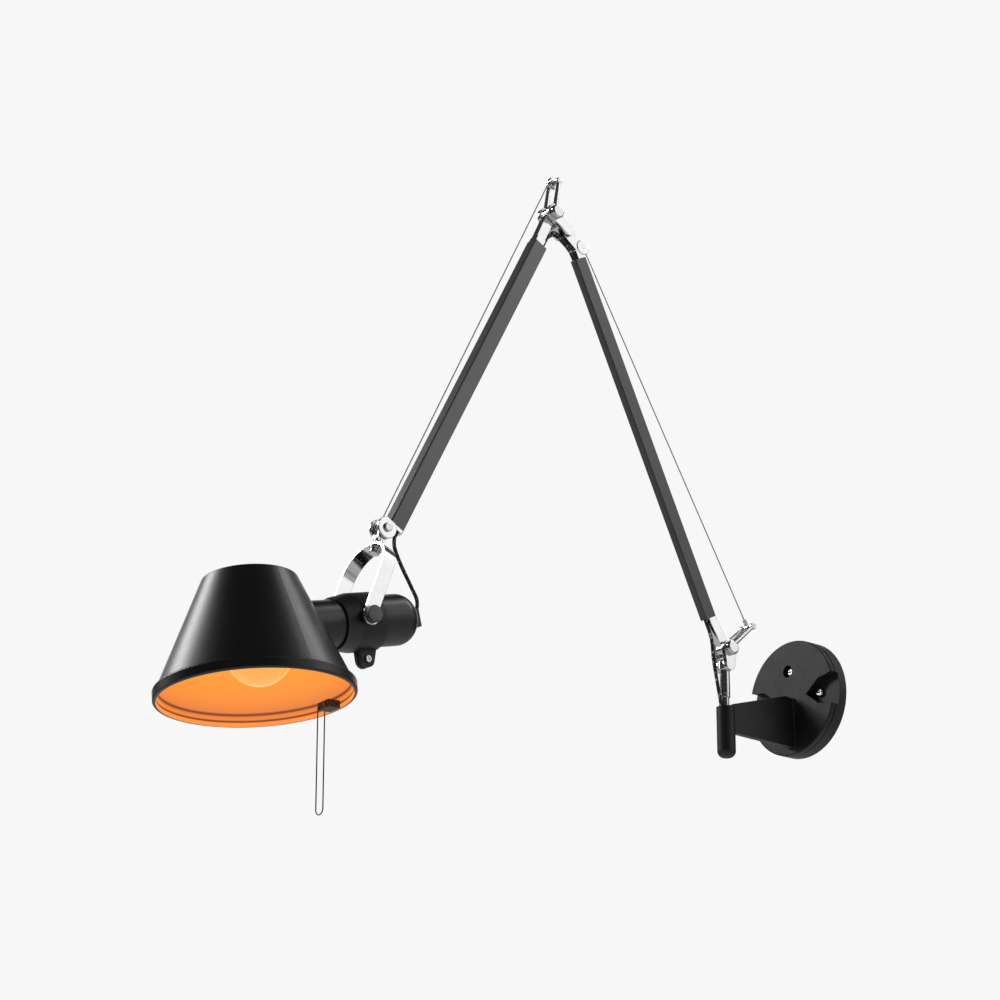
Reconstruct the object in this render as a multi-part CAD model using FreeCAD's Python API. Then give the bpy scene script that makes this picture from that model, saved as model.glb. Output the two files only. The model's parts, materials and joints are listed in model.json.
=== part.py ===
import FreeCAD, Part

import math
import os

V = FreeCAD.Vector

# ---------------------------------------------------------------------------
# Driving dimensions, in millimetres and degrees.
# The lamp stands off a wall: the wall is the plane y = 0, the room is towards -Y and +Z is up.
# The origin is the centre of the wall plate's back face. Both arms lie in the plane x = 0.
# ---------------------------------------------------------------------------

# Clearances
slip = 0.05                 # radial running fit of pins and spindles
gap = 0.3                   # between curved faces on pieces that move apart
seat = 0.1                  # between a plug and the tube that it fills

# Wall plate, cover and bracket
cover_radius = 60.0
cover_depth = 18.9
cover_wall = 2.2
cover_edge = 1.6
cover_groove_depth = 0.8
cover_groove_width = 1.2
cover_groove_back = 5.0     # how far the groove lies behind the front edge
plate_radius = 52.0
plate_thickness = 2.5
plate_hole_radius = 2.6
plate_hole_spacing = 70.0   # between the two wall screws, one above the other
plate_cable_hole_radius = 9.0
plate_cable_hole_z = -12.0
cover_screw_reach = 34.0    # sideways from the centre
cover_screw_radius = 2.0
cover_screw_head_radius = 4.4
cover_screw_head_height = 3.0
recess_tip = 21.0           # the two fan-shaped recesses start this far from the centre
recess_shoulder = 38.0
recess_shoulder_half = 13.0
recess_mouth_half = 18.0
recess_depth = 9.0
recess_corner = 3.0
lock_screw_x = -4.0
lock_screw_z = 29.0
lock_screw_radius = 2.5
lock_screw_head_radius = 4.0
lock_screw_head_height = 2.6
lock_counterbore_radius = 6.3
lock_counterbore_depth = 6.0
web_half_thickness = 3.2
web_top_at_cover = -1.5
web_crest_y = 11.0          # the crest lies this far in front of the cover
web_top_at_socket = -24.0
web_bottom_at_cover = -53.0
web_bottom_at_socket = -51.0
web_channel_radius = 2.0
web_channel_z = -31.0
web_foot_half = 5.4
web_foot_thickness = 2.2
web_foot_flare = 1.4
web_screw_radius = 2.0
web_screw_head_radius = 3.4
web_screw_head_height = 2.0
web_screw_inset = 8.0
spindle_reach = 112.5       # from the wall to the spindle's axis
socket_radius = 9.35
socket_top = -25.8
socket_bottom = -78.1
socket_mouth_radius = 8.3
socket_mouth_depth = 10.0
socket_end_round = 7.0
bush_wall = 1.5
bush_length = 12.0
terminal_size = (22.0, 9.0, 14.0)
terminal_z = 4.0

# Spindle and the wall joint's casting
spindle_radius = 4.0
spindle_bottom = -70.0
collar_radius = 5.1
collar_bottom = -16.3
collar_top = 20.0
shoulder_height = 33.8      # hinge of the lower arm above the origin
hub_radius = 9.0
cheek_inside = 5.2
cheek_thickness = 4.4
casting_foot_radius = 7.0
casting_foot_bottom = 12.0
wall_horn_back = 34.0       # horn tip from the hinge, towards the wall
wall_horn_up = 29.6
prong_radius = 2.2
prong_tip_radius = 3.4
horn_pin_radius = 1.5
eye_radius = 7.5
eye_half = 4.2
hinge_pin_radius = 2.5
bolt_head_radius = 6.2
bolt_head_height = 2.8
nut_radius = 7.4
nut_height = 5.2
ferrule_radius = 2.0
ferrule_length = 9.0
ferrule_eye_radius = 3.0
ferrule_eye_half = 2.4

# Lower arm: places are measured along and across the arm from its hinge
lower_lean = 26.24          # from straight up, out into the room
lower_tube_start = 35.3
lower_tube_length = 385.3
lower_tube_across = -5.9
lower_tube_width = 16.0
lower_tube_thickness = 8.5
tube_wall = 1.0
tube_corner = 1.6
plug_length = 26.0
plug_corner = 0.9
neck_radius = 4.8
elbow_beyond_tube = 50.7    # elbow hinge from the lower tube's end
elbow_across = -22.8
guide_beyond_tube = 10.0    # lower cable guide from the lower tube's end
lower_guide_across = 1.9
guide_track = 5.0          # radius of the steel cable's centre line on a guide
guide_rim = 6.2
guide_half = 1.8
guide_pin_radius = 1.6
steel_cable_radius = 0.6
guide_boss_radius = 7.8
guide_cheek = 2.2
bar_start_across = -1.6
bar_start_back = 3.4        # how far the bar starts beyond the tube's end
bar_radius = 5.6
bar_half = 4.2
knuckle_reach = 15.5
knuckle_radius = 6.0
knuckle_length = 8.0

# Upper arm: places are measured along and across the arm from the elbow hinge
upper_lean = 152.15
upper_tube_start = 42.2
upper_tube_length = 379.4
upper_tube_across = -3.0
upper_tube_width = 16.5
upper_tube_thickness = 14.0
upper_neck_radius = 5.2
end_cap_length = 3.5
elbow_horn_along = -35.6
elbow_horn_across = 12.0
horn_guide_track = 5.5
horn_guide_rim = 6.6
horn_guide_half = 2.4
head_hinge_beyond_tube = 8.7
head_hinge_across = 5.9
head_hub_radius = 10.5
head_cheek_inside = 4.8
head_cheek_thickness = 2.7
head_pin_radius = 2.0
head_boss_radius = 4.4
head_boss_height = 2.4
upper_guide_track = 5.1

# Balance springs
lower_spring_across = -3.1
lower_spring_radius = 2.5
lower_spring_wire = 0.9
lower_spring_length = 120.0
upper_spring_across = -0.6
upper_spring_radius = 3.3
upper_spring_wire = 1.1
upper_spring_length = 130.0
spring_pitch = 4.0
terminal_thickness = 3.0

# Head: link, yoke, lampholder
yoke_lean = 159.36
yoke_reach = 104.4          # head hinge to the tilt axis
link_eye_radius = 6.5
link_eye_inside = 2.2
link_eye_thickness = 2.0
link_body_start = 7.2
link_body_radius = 4.6
crown_seat = 17.5
crown_top = 19.0
crown_pad_radius = 6.2
crown_pad_height = 1.6
link_spigot_radius = 3.0
yoke_nut_radius = 5.0
yoke_nut_height = 4.5
strap_thickness = 3.0
strap_half_width = 7.0
strap_outside = 31.5
tilt_pin_radius = 2.4
tilt_pin_depth = 3.5
knob_ring_radius = 9.2
knob_ring_height = 2.4
knob_radius = 8.0
knob_height = 6.0
far_head_radius = 6.0
far_head_height = 2.4
holder_lean = 104.0         # the lampholder's axis, towards the shade
dome_radius = 24.0
dome_end = -73.0
dome_bulge = 20.0
dome_wall = 1.8
band_back = -24.0
band_front = 4.0
band_radius = 27.3
lug_along = -10.0
lug_across = -35.0
lug_radius = 7.6
lug_half = 5.0
lug_screw_radius = 1.6
lug_screw_head_radius = 3.4
lug_screw_head_height = 1.6
flange_front = 20.0
flange_front_radius = 24.4
flange_wall = 2.6
spigot_radius = 19.2
spigot_length = 9.0
spigot_wall = 1.6
carrier_floor = 10.0        # the lamp socket's stem stands on this floor
grip_length = 8.0
grip_half = 5.0
grip_height = 17.0

# Lamp socket and bulb, on an axis of their own that dips into the shade
bulb_lean = 121.0
bulb_along = 107.0          # middle of the globe, along and across the lampholder
bulb_across = -21.8
globe_radius = 30.0
bulb_length = 107.0
glass_wall = 1.0
bulb_shoulder_angle = 42.0
bulb_neck_radius = 14.0
bulb_neck_length = 10.0
cap_radius = 13.2
cap_length = 25.0
cap_tip_radius = 5.0
cap_tip_length = 2.4
socket_shell_radius = 15.2
socket_shell_length = 26.0
socket_floor = 5.0
socket_stem_radius = 9.0

# Shade
shade_lean = 2.4
shade_roll = 3.95           # how far the shade is turned on its spigot
shade_foot_out = 104.54      # centre of the rim from the tilt axis, out into the room
shade_foot_down = 90.25
shade_top_radius = 42.7
shade_cone_height = 100.0
shade_wall = 1.2
lip_radius = 90.0
lip_step = 3.2              # from the foot of the cone out to the lip
lip_height = 10.5
lip_round = 1.8
shade_top_round = 2.5
shade_collar_radius = 22.5
collar_wall = 1.3
clip_width = 15.0
clip_depth = 14.0
clip_height = 7.0
loop_half_width = 5.2
loop_length = 100.0
loop_wire_radius = 0.6
loop_inset = 18.5           # hinge of the wire loop from the lip's outside
loop_rise = 3.4

# Power cable
cable_radius = 1.8
lead_radius = 1.5
lead_offset = 1.56          # each of the two elbow leads from the plane of the arms
head_cable_near = (20.06, -28.25)   # two bends beside the yoke, from the head hinge
head_cable_far = (43.06, -62.75)
lead_rise = 4.0             # how far the one lead bows above the other at the elbow

os.makedirs("parts", exist_ok=True)


# ---------------------------------------------------------------------------
# Helpers. In every frame, x is sideways, y is across and z is along.
# ---------------------------------------------------------------------------

class Frame:
    """A frame in the plane x = 0, with its z axis leaning from straight up towards the room."""

    def __init__(self, y, z, lean):
        self.place = FreeCAD.Placement(V(0, y, z), FreeCAD.Rotation(V(1, 0, 0), lean))

    def point(self, across, along, x=0.0):
        return self.place.multVec(V(x, across, along))

    def put(self, shape):
        moved = shape.copy()
        moved.Placement = self.place.multiply(moved.Placement)
        return moved

    def bring(self, shape):
        """A shape given in the lamp's frame, brought into this one."""
        moved = shape.copy()
        moved.Placement = self.place.inverse().multiply(moved.Placement)
        return moved

    def roll(self, about, angle):
        """Turns this frame about the z axis of another."""
        spin = FreeCAD.Placement(V(0, 0, 0), FreeCAD.Rotation(V(0, 0, 1), angle))
        self.place = about.place.multiply(spin).multiply(about.place.inverse()).multiply(self.place)


def save(shape, name):
    clean = shape.removeSplitter() if len(shape.Solids) == 1 else shape
    if not clean.isValid() or not clean.Solids:
        raise ValueError("bad solid: " + name)
    clean.exportStep("parts/" + name + ".step")
    print(name, len(clean.Solids), round(clean.Volume, 1))


def group(shapes):
    return Part.makeCompound([solid for shape in shapes for solid in shape.Solids])


def fuse(shapes):
    return shapes[0].fuse(shapes[1:]).removeSplitter()


def pin_x(across, along, radius, x0, x1):
    return Part.makeCylinder(radius, x1 - x0, V(x0, across, along), V(1, 0, 0))


def rod_z(radius, z0, z1, across=0.0, x=0.0):
    return Part.makeCylinder(radius, z1 - z0, V(x, across, z0))


def box(x0, x1, y0, y1, z0, z1):
    return Part.makeBox(x1 - x0, y1 - y0, z1 - z0, V(x0, y0, z0))


def bar_between(start, end, start_radius, end_radius=None):
    """A round bar with rounded ends."""
    end_radius = start_radius if end_radius is None else end_radius
    run = end - start
    if abs(start_radius - end_radius) < 1e-6:
        body = Part.makeCylinder(start_radius, run.Length, start, run)
    else:
        body = Part.makeCone(start_radius, end_radius, run.Length, start, run)
    return fuse([body, Part.makeSphere(start_radius, start), Part.makeSphere(end_radius, end)])


def link(start, end, start_radius, end_radius, x0, x1):
    """A flat link in the y-z plane: two round ends joined by their outer tangents."""
    sy, sz = start
    ey, ez = end
    run = math.hypot(ey - sy, ez - sz)
    heading = math.atan2(ez - sz, ey - sy)
    swing = math.acos((start_radius - end_radius) / run)
    corners = []
    for y, z, radius, angle in (
        (sy, sz, start_radius, heading + swing),
        (ey, ez, end_radius, heading + swing),
        (ey, ez, end_radius, heading - swing),
        (sy, sz, start_radius, heading - swing),
    ):
        corners.append(V(x0, y + radius * math.cos(angle), z + radius * math.sin(angle)))
    web = Part.Face(Part.makePolygon(corners + corners[:1])).extrude(V(x1 - x0, 0, 0))
    return fuse([web, pin_x(sy, sz, start_radius, x0, x1), pin_x(ey, ez, end_radius, x0, x1)])


def rounded_bar(width, thickness, corner, z0, z1, across):
    """A bar along z with a rounded rectangle for its section: width across, thickness sideways."""
    body = box(-thickness / 2, thickness / 2, across - width / 2, across + width / 2, z0, z1)
    edges = [e for e in body.Edges if abs(e.tangentAt(e.FirstParameter).z) > 0.99]
    return body.makeFillet(corner, edges)


def plug_bar(half, low, high, z0, z1):
    """The part of an end piece that fills a tube beside the power cable."""
    return rounded_bar(high - low, 2 * half, plug_corner, z0, z1, (low + high) / 2)


def tube(width, thickness, z0, z1, across):
    outside = rounded_bar(width, thickness, tube_corner, z0, z1, across)
    inside = rounded_bar(width - 2 * tube_wall, thickness - 2 * tube_wall, tube_corner - tube_wall,
                         z0 - 1, z1 + 1, across)
    return outside.cut(inside)


def revolve(points):
    """A solid turned about z from (radius, height) points."""
    corners = [V(r, 0, z) for r, z in points]
    face = Part.Face(Part.makePolygon(corners + corners[:1]))
    return face.revolve(V(0, 0, 0), V(0, 0, 1), 360)


def circular_edges(shape, radius, axis):
    return [e for e in shape.Edges
            if isinstance(e.Curve, Part.Circle) and abs(e.Curve.Radius - radius) < 1e-4
            and abs(abs(e.Curve.Axis.dot(axis)) - 1) < 1e-6]


def soften(shape, radius, size, axis=V(1, 0, 0)):
    """Rounds the circular edges of one radius."""
    edges = circular_edges(shape, radius, axis)
    return shape.makeFillet(size, edges) if edges else shape


def screw(radius, head_radius, head_height, length):
    """A pan-head screw with a cross recess: its head sits on z = 0 and its shank goes down."""
    head = Part.makeCylinder(head_radius, head_height)
    head = soften(head, head_radius, head_height * 0.45, V(0, 0, 1))
    shank = Part.makeCylinder(radius, length, V(0, 0, -length))
    body = fuse([head, shank])
    slot_half = head_radius * 0.6
    slot_width = head_radius * 0.12
    slot_floor = head_height * 0.55
    for angle in (0, 90):
        slot = box(-slot_half, slot_half, -slot_width, slot_width, slot_floor, head_height + 1)
        slot.rotate(V(0, 0, 0), V(0, 0, 1), angle)
        body = body.cut(slot)
    return body


def aim(shape, spot, heading):
    """Turns a shape from +Z to the heading and moves its origin to the spot."""
    moved = shape.copy()
    moved.Placement = FreeCAD.Placement(spot, FreeCAD.Rotation(V(0, 0, 1), heading))
    return moved


def rounded_path(points, label, most=1000.0):
    """Straight runs joined by tangent arcs, each as large as its two runs and the limit allow."""
    edges = []
    here = points[0]
    radii = []
    for before, corner, after in zip(points, points[1:], points[2:]):
        way_in = (corner - before).normalize()
        way_out = (after - corner).normalize()
        turn = way_in.getAngle(way_out)
        trim = min(most, 0.48 * min((corner - before).Length, (after - corner).Length))
        radius = trim / math.tan(turn / 2)
        inward = (way_out - way_in).normalize()
        centre = corner + inward * (radius / math.cos(turn / 2))
        arc_start = corner - way_in * trim
        arc_end = corner + way_out * trim
        edges.append(Part.LineSegment(here, arc_start).toShape())
        edges.append(Part.Arc(arc_start, centre - inward * radius, arc_end).toShape())
        radii.append(round(radius, 1))
        here = arc_end
    edges.append(Part.LineSegment(here, points[-1]).toShape())
    print("bend radii of", label, radii)
    return Part.Wire(edges)


def sweep(path, radius, label):
    """A round cord along a path, with its volume compared with section times length."""
    first = path.Edges[0]
    start = first.valueAt(first.FirstParameter)
    heading = first.tangentAt(first.FirstParameter)
    ring = Part.Wire([Part.makeCircle(radius, start, heading)])
    solid = path.makePipeShell([ring], True, False)
    share = solid.Volume / (math.pi * radius ** 2 * path.Length)
    print("cord", label, "length", round(path.Length, 1), "volume share", round(share, 4))
    return solid


def tangent_spot(across, along, centre_across, centre_along, radius, side):
    """Where a line from the point touches the circle, on one side of it."""
    dy = across - centre_across
    dz = along - centre_along
    angle = math.atan2(dz, dy) + side * math.acos(radius / math.hypot(dy, dz))
    return centre_across + radius * math.cos(angle), centre_along + radius * math.sin(angle)


def spring(across, start, length, radius, wire):
    """A coil spring along z."""
    coil = Part.makeHelix(spring_pitch, length, radius)
    ring = Part.Wire([Part.makeCircle(wire / 2, V(radius, 0, 0), V(0, 1, 0))])
    solid = Part.Wire(coil).makePipeShell([ring], True, True)
    solid.translate(V(0, across, start))
    return solid


def washer_pair(outside, hole, x0, x1):
    washers = []
    for side in (-1, 1):
        low = min(side * x0, side * x1)
        high = max(side * x0, side * x1)
        ring = pin_x(0, 0, outside, low, high).cut(pin_x(0, 0, hole, low - 1, high + 1))
        washers.append(ring)
    return washers


def grooved_guide(track, rim, half, hole):
    """A fixed grooved guide on the x axis, with the cable's groove turned into its rim."""
    body = pin_x(0, 0, rim, -half, half)
    groove = Part.makeTorus(track, steel_cable_radius + slip, V(0, 0, 0), V(1, 0, 0))
    mouth = pin_x(0, 0, rim + 1, -steel_cable_radius - slip, steel_cable_radius + slip)
    mouth = mouth.cut(pin_x(0, 0, track, -half, half))
    return body.cut(fuse([groove, mouth])).cut(pin_x(0, 0, hole, -half - 1, half + 1))


def shifted(shape, across, along):
    moved = shape.copy()
    moved.translate(V(0, across, along))
    return moved


# ---------------------------------------------------------------------------
# Frames and derived places
# ---------------------------------------------------------------------------

lower_tube_end = lower_tube_start + lower_tube_length
upper_tube_end = upper_tube_start + upper_tube_length
elbow_along = lower_tube_end + elbow_beyond_tube
lower_guide_along = lower_tube_end + guide_beyond_tube
head_hinge_along = upper_tube_end + head_hinge_beyond_tube
shoulder = Frame(-spindle_reach, shoulder_height, 0)
lower = Frame(-spindle_reach, shoulder_height, lower_lean)
elbow = lower.point(elbow_across, elbow_along)
upper = Frame(elbow.y, elbow.z, upper_lean)
head_hinge = upper.point(head_hinge_across, head_hinge_along)
yoke_frame = Frame(head_hinge.y, head_hinge.z, yoke_lean)
tilt = yoke_frame.point(0, yoke_reach)
holder = Frame(tilt.y, tilt.z, holder_lean)
shade = Frame(tilt.y - shade_foot_out, tilt.z - shade_foot_down, shade_lean)
shade.roll(holder, shade_roll)
globe = holder.point(bulb_across, bulb_along)
globe_seat = bulb_length - globe_radius
bulb_frame = Frame(globe.y, globe.z, bulb_lean)

cheek_outside = cheek_inside + cheek_thickness
head_cheek_outside = head_cheek_inside + head_cheek_thickness
strap_inside = strap_outside - strap_thickness
shade_bottom_radius = lip_radius - lip_step
loop_setback = lip_radius - loop_inset
loop_hinge = shade.point(loop_setback, loop_rise)
lower_cable_across = lower_tube_across - lower_tube_width / 2 + tube_wall + cable_radius + 0.2
upper_cable_across = upper_tube_across - upper_tube_width / 2 + tube_wall + cable_radius + 0.15

for label, spot in (("elbow", elbow), ("head hinge", head_hinge), ("tilt axis", tilt), ("globe", globe),
                    ("loop hinge", loop_hinge)):
    print(label, [round(c, 2) for c in spot])


# ---------------------------------------------------------------------------
# Wall side
# ---------------------------------------------------------------------------

def make_wall_plate():
    """Steel disc that is screwed to the wall behind the cover."""
    disc = Part.makeCylinder(plate_radius, plate_thickness, V(0, 0, 0), V(0, -1, 0))
    for z in (-plate_hole_spacing / 2, plate_hole_spacing / 2):
        disc = disc.cut(Part.makeCylinder(plate_hole_radius, plate_thickness + 2, V(0, 1, z), V(0, -1, 0)))
    disc = disc.cut(Part.makeCylinder(plate_cable_hole_radius, plate_thickness + 2,
                                      V(0, 1, plate_cable_hole_z), V(0, -1, 0)))
    for x in (-cover_screw_reach, cover_screw_reach):
        disc = disc.cut(Part.makeCylinder(cover_screw_radius + slip, plate_thickness + 2,
                                          V(x, 1, 0), V(0, -1, 0)))
    disc = disc.cut(Part.makeCylinder(lock_screw_radius + slip, plate_thickness + 2,
                                      V(lock_screw_x, 1, lock_screw_z), V(0, -1, 0)))
    return disc


def recess_outline(side, inset, y):
    """The fan-shaped recess at three or nine o'clock."""
    far = cover_radius + 5
    points = [
        (recess_tip + inset * 1.6, 0.0),
        (recess_shoulder, recess_shoulder_half - inset),
        (far, recess_mouth_half - inset),
        (far, -recess_mouth_half + inset),
        (recess_shoulder, -recess_shoulder_half + inset),
    ]
    corners = [V(side * x, y, z) for x, z in points]
    return Part.Face(Part.makePolygon(corners + corners[:1]))


def cover_screw_seat():
    return cover_depth - recess_depth


def make_cover():
    """Cast round cover with a groove round its rim and a recess for each of its two screws."""
    disc = Part.makeCylinder(cover_radius, cover_depth, V(0, 0, 0), V(0, -1, 0))
    front = [e for e in disc.Edges if isinstance(e.Curve, Part.Circle) and e.BoundBox.YMax < -cover_depth / 2]
    disc = disc.makeFillet(cover_edge, front)
    inside = Part.makeCylinder(cover_radius - cover_wall, cover_depth - cover_wall, V(0, 0, 0), V(0, -1, 0))
    shell = disc.cut(inside)
    depth = cover_depth - cover_wall
    for side in (-1, 1):
        walls = recess_outline(side, -cover_wall, -cover_depth + 0.001).extrude(V(0, recess_depth + cover_wall, 0))
        walls = walls.common(disc)
        cavity = recess_outline(side, 0, -cover_depth - 1).extrude(V(0, recess_depth + 1, 0))
        shell = shell.fuse(walls).cut(cavity)
        post = Part.makeCylinder(cover_screw_head_radius, cover_screw_seat() - plate_thickness,
                                 V(side * cover_screw_reach, -plate_thickness, 0), V(0, -1, 0))
        hole = Part.makeCylinder(cover_screw_radius + slip, cover_depth,
                                 V(side * cover_screw_reach, 0, 0), V(0, -1, 0))
        shell = shell.fuse(post).cut(hole)
    boss = Part.makeCylinder(lock_counterbore_radius + cover_wall, depth - plate_thickness,
                             V(lock_screw_x, -plate_thickness, lock_screw_z), V(0, -1, 0))
    bore = Part.makeCylinder(lock_counterbore_radius, lock_counterbore_depth + 1,
                             V(lock_screw_x, -cover_depth + lock_counterbore_depth, lock_screw_z), V(0, -1, 0))
    hole = Part.makeCylinder(lock_screw_radius + slip, cover_depth, V(lock_screw_x, 0, lock_screw_z), V(0, -1, 0))
    shell = shell.fuse(boss).cut(bore).cut(hole)
    groove = Part.makeCylinder(cover_radius + 1, cover_groove_width,
                               V(0, -cover_depth + cover_groove_back + cover_groove_width, 0), V(0, -1, 0))
    groove = groove.cut(Part.makeCylinder(cover_radius - cover_groove_depth, cover_depth, V(0, 0, 0), V(0, -1, 0)))
    shell = shell.cut(groove)
    channel = Part.makeCylinder(web_channel_radius + 0.4, cover_depth, V(0, 0, web_channel_z), V(0, -1, 0))
    shell = shell.cut(channel)
    for z in web_screw_heights():
        shell = shell.cut(Part.makeCylinder(web_screw_radius + slip, cover_depth + 1, V(0, 0, z), V(0, -1, 0)))
    return shell


def web_screw_heights():
    return (web_top_at_cover - web_screw_inset, web_bottom_at_cover + web_screw_inset)


def make_bracket():
    """Upright web from the cover to the socket that holds the spindle, in one casting."""
    face_y = -cover_depth
    crest_y = face_y - web_crest_y
    end_y = -spindle_reach
    outline = [
        V(-web_half_thickness, face_y, web_top_at_cover),
        V(-web_half_thickness, crest_y, web_top_at_cover + 1.2),
        V(-web_half_thickness, end_y, web_top_at_socket),
        V(-web_half_thickness, end_y, web_bottom_at_socket),
        V(-web_half_thickness, face_y, web_bottom_at_cover),
    ]
    web = Part.Face(Part.makePolygon(outline + outline[:1])).extrude(V(2 * web_half_thickness, 0, 0))
    foot = box(-web_foot_half, web_foot_half, face_y - web_foot_thickness, face_y,
               web_bottom_at_cover, web_top_at_cover)
    barrel = Part.makeCylinder(socket_radius, socket_top - socket_bottom, V(0, end_y, socket_bottom))
    bottom = [e for e in barrel.Edges if isinstance(e.Curve, Part.Circle) and e.BoundBox.ZMax < socket_bottom + 1]
    top = [e for e in barrel.Edges if isinstance(e.Curve, Part.Circle) and e.BoundBox.ZMin > socket_top - 1]
    barrel = barrel.makeFillet(socket_end_round, bottom).makeFillet(0.6, top)
    body = fuse([web, barrel])
    flare = foot.makeChamfer(web_foot_flare, [
        e for e in foot.Edges
        if abs(e.tangentAt(e.FirstParameter).z) > 0.99 and e.BoundBox.YMax < face_y - 1])
    body = fuse([body, flare])
    bore_radius = spindle_radius + bush_wall
    bore = Part.makeCylinder(bore_radius, -spindle_bottom + socket_top, V(0, end_y, spindle_bottom))
    mouth_floor = socket_top - socket_mouth_depth
    mouth = Part.makeCylinder(socket_mouth_radius, -mouth_floor, V(0, end_y, mouth_floor))
    channel = Part.makeCylinder(web_channel_radius, spindle_reach - cover_depth + 5,
                                V(0, face_y + 5, web_channel_z), V(0, -1, 0))
    body = body.cut(bore).cut(mouth).cut(channel)
    for z in web_screw_heights():
        body = body.cut(Part.makeCylinder(web_screw_radius, 10, V(0, face_y, z), V(0, -1, 0)))
    return body


def make_bushes():
    """Two plain bushes that the spindle turns in."""
    bushes = []
    for bottom in (spindle_bottom, socket_top - socket_mouth_depth - bush_length):
        sleeve = Part.makeCylinder(spindle_radius + bush_wall, bush_length, V(0, -spindle_reach, bottom))
        hole = Part.makeCylinder(spindle_radius + slip, bush_length + 2, V(0, -spindle_reach, bottom - 1))
        bushes.append(sleeve.cut(hole))
    return bushes


def make_cover_screws():
    heads = []
    length = cover_screw_seat() - 0.2
    for side in (-1, 1):
        one = screw(cover_screw_radius, cover_screw_head_radius, cover_screw_head_height, length)
        heads.append(aim(one, V(side * cover_screw_reach, -cover_screw_seat(), 0), V(0, -1, 0)))
    return group(heads)


def make_lock_screw():
    seat_depth = cover_depth - lock_counterbore_depth
    one = screw(lock_screw_radius, lock_screw_head_radius, lock_screw_head_height, seat_depth - 0.2)
    return aim(one, V(lock_screw_x, -seat_depth, lock_screw_z), V(0, -1, 0))


def make_bracket_screws():
    """Screws from inside the cover into the bracket's foot."""
    screws = []
    for z in web_screw_heights():
        one = screw(web_screw_radius, web_screw_head_radius, web_screw_head_height, cover_wall + 7)
        screws.append(aim(one, V(0, -cover_depth + cover_wall, z), V(0, 1, 0)))
    return group(screws)


def make_terminal_block():
    """Three-way terminal block on the wall plate, with a hole through it for each wire."""
    wide, deep, tall = terminal_size
    block = box(-wide / 2, wide / 2, -plate_thickness - deep, -plate_thickness, terminal_z, terminal_z + tall)
    for step in (-1, 0, 1):
        hole = Part.makeCylinder(1.3, tall + 2, V(step * wide / 3, -plate_thickness - deep / 2, terminal_z - 1))
        block = block.cut(hole)
    return block


def make_wall_cable():
    """Power cable from the terminal block through the bracket's web to the spindle's socket."""
    inside_y = -plate_thickness - terminal_size[1] / 2
    end_y = -spindle_reach + socket_mouth_radius + 0.4
    small = web_channel_radius - 0.3
    corner_trim = 7.6
    path = rounded_path([
        V(0, inside_y, terminal_z),
        V(0, inside_y, web_channel_z),
        V(0, end_y, web_channel_z),
    ], "wall_cable", corner_trim)
    return sweep(path, small, "wall_cable")


def make_wall_side():
    save(make_wall_plate(), "wall_plate")
    save(make_cover(), "wall_cover")
    save(make_bracket(), "bracket")
    save(group(make_bushes()), "spindle_bushes")
    save(make_cover_screws(), "cover_screws")
    save(make_lock_screw(), "lock_screw")
    save(make_bracket_screws(), "bracket_screws")
    save(make_terminal_block(), "terminal_block")
    save(make_wall_cable(), "wall_cable")


# ---------------------------------------------------------------------------
# Wall joint: turns in the socket and carries the lower arm
# ---------------------------------------------------------------------------

def make_spindle():
    axis = V(0, -spindle_reach, 0)
    shaft = Part.makeCylinder(spindle_radius, collar_bottom - spindle_bottom, axis + V(0, 0, spindle_bottom))
    collar = Part.makeCylinder(collar_radius, collar_top - collar_bottom, axis + V(0, 0, collar_bottom))
    low = [e for e in collar.Edges if isinstance(e.Curve, Part.Circle) and e.BoundBox.ZMax < collar_bottom + 1]
    collar = collar.makeFillet(0.8, low)
    groove_z = collar_bottom + 3.0
    groove = Part.makeCylinder(collar_radius + 1, 0.8, axis + V(0, 0, groove_z))
    groove = groove.cut(Part.makeCylinder(collar_radius - 0.5, 2, axis + V(0, 0, groove_z - 0.5)))
    return fuse([shaft, collar]).cut(groove)


def forked_hub(knuckle, knuckle_r, inner_end, tip, hub_hole, x_in, x_out):
    """Two cheeks round a hinge at the frame's origin, a block that joins them and a two-pronged horn."""
    pieces = [link(knuckle, inner_end, knuckle_r, knuckle_r, -x_out, x_out)]
    for side in (-1, 1):
        low = min(side * x_in, side * x_out)
        high = max(side * x_in, side * x_out)
        cheek = link((0, 0), knuckle, hub_radius, knuckle_r, low, high)
        pieces.append(soften(cheek, hub_radius, 0.7))
        middle = side * (x_in + x_out) / 2
        root = V(middle, 0, 0)
        end = V(middle, tip[0], tip[1])
        heading = (end - root).normalize()
        pieces.append(bar_between(root + heading * 5, end, prong_radius * 1.25, prong_radius * 0.92))
        ear = pin_x(tip[0], tip[1], prong_tip_radius, low, high)
        pieces.append(soften(ear, prong_tip_radius, 0.8))
    body = fuse(pieces)
    body = body.cut(pin_x(0, 0, hub_hole, -x_out - 5, x_out + 5))
    body = body.cut(pin_x(0, 0, hub_radius + 0.2, -x_in, x_in))
    for x0, x1 in ((-x_out - 5, -x_out), (x_out, x_out + 5)):
        body = body.cut(pin_x(0, 0, nut_radius + gap, x0, x1))
    return body.cut(pin_x(tip[0], tip[1], horn_pin_radius + slip, -x_out - 5, x_out + 5))


def make_swivel_casting():
    """Polished casting on top of the spindle: two cheeks for the hinge and the wall horn."""
    foot_z = casting_foot_bottom - shoulder_height
    knuckle = (0.0, -hub_radius - 6.4)
    body = forked_hub(knuckle, 6.0, (0.0, foot_z + 6.0 - 1.0), (wall_horn_back, wall_horn_up),
                      hinge_pin_radius + slip, cheek_inside, cheek_outside)
    foot = rod_z(casting_foot_radius, foot_z, knuckle[1] + 3)
    foot = soften(foot, casting_foot_radius, 1.0, V(0, 0, 1))
    body = fuse([body, foot])
    socket = rod_z(collar_radius + slip, foot_z - 30, collar_top - shoulder_height)
    return shoulder.put(body.cut(socket))


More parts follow.
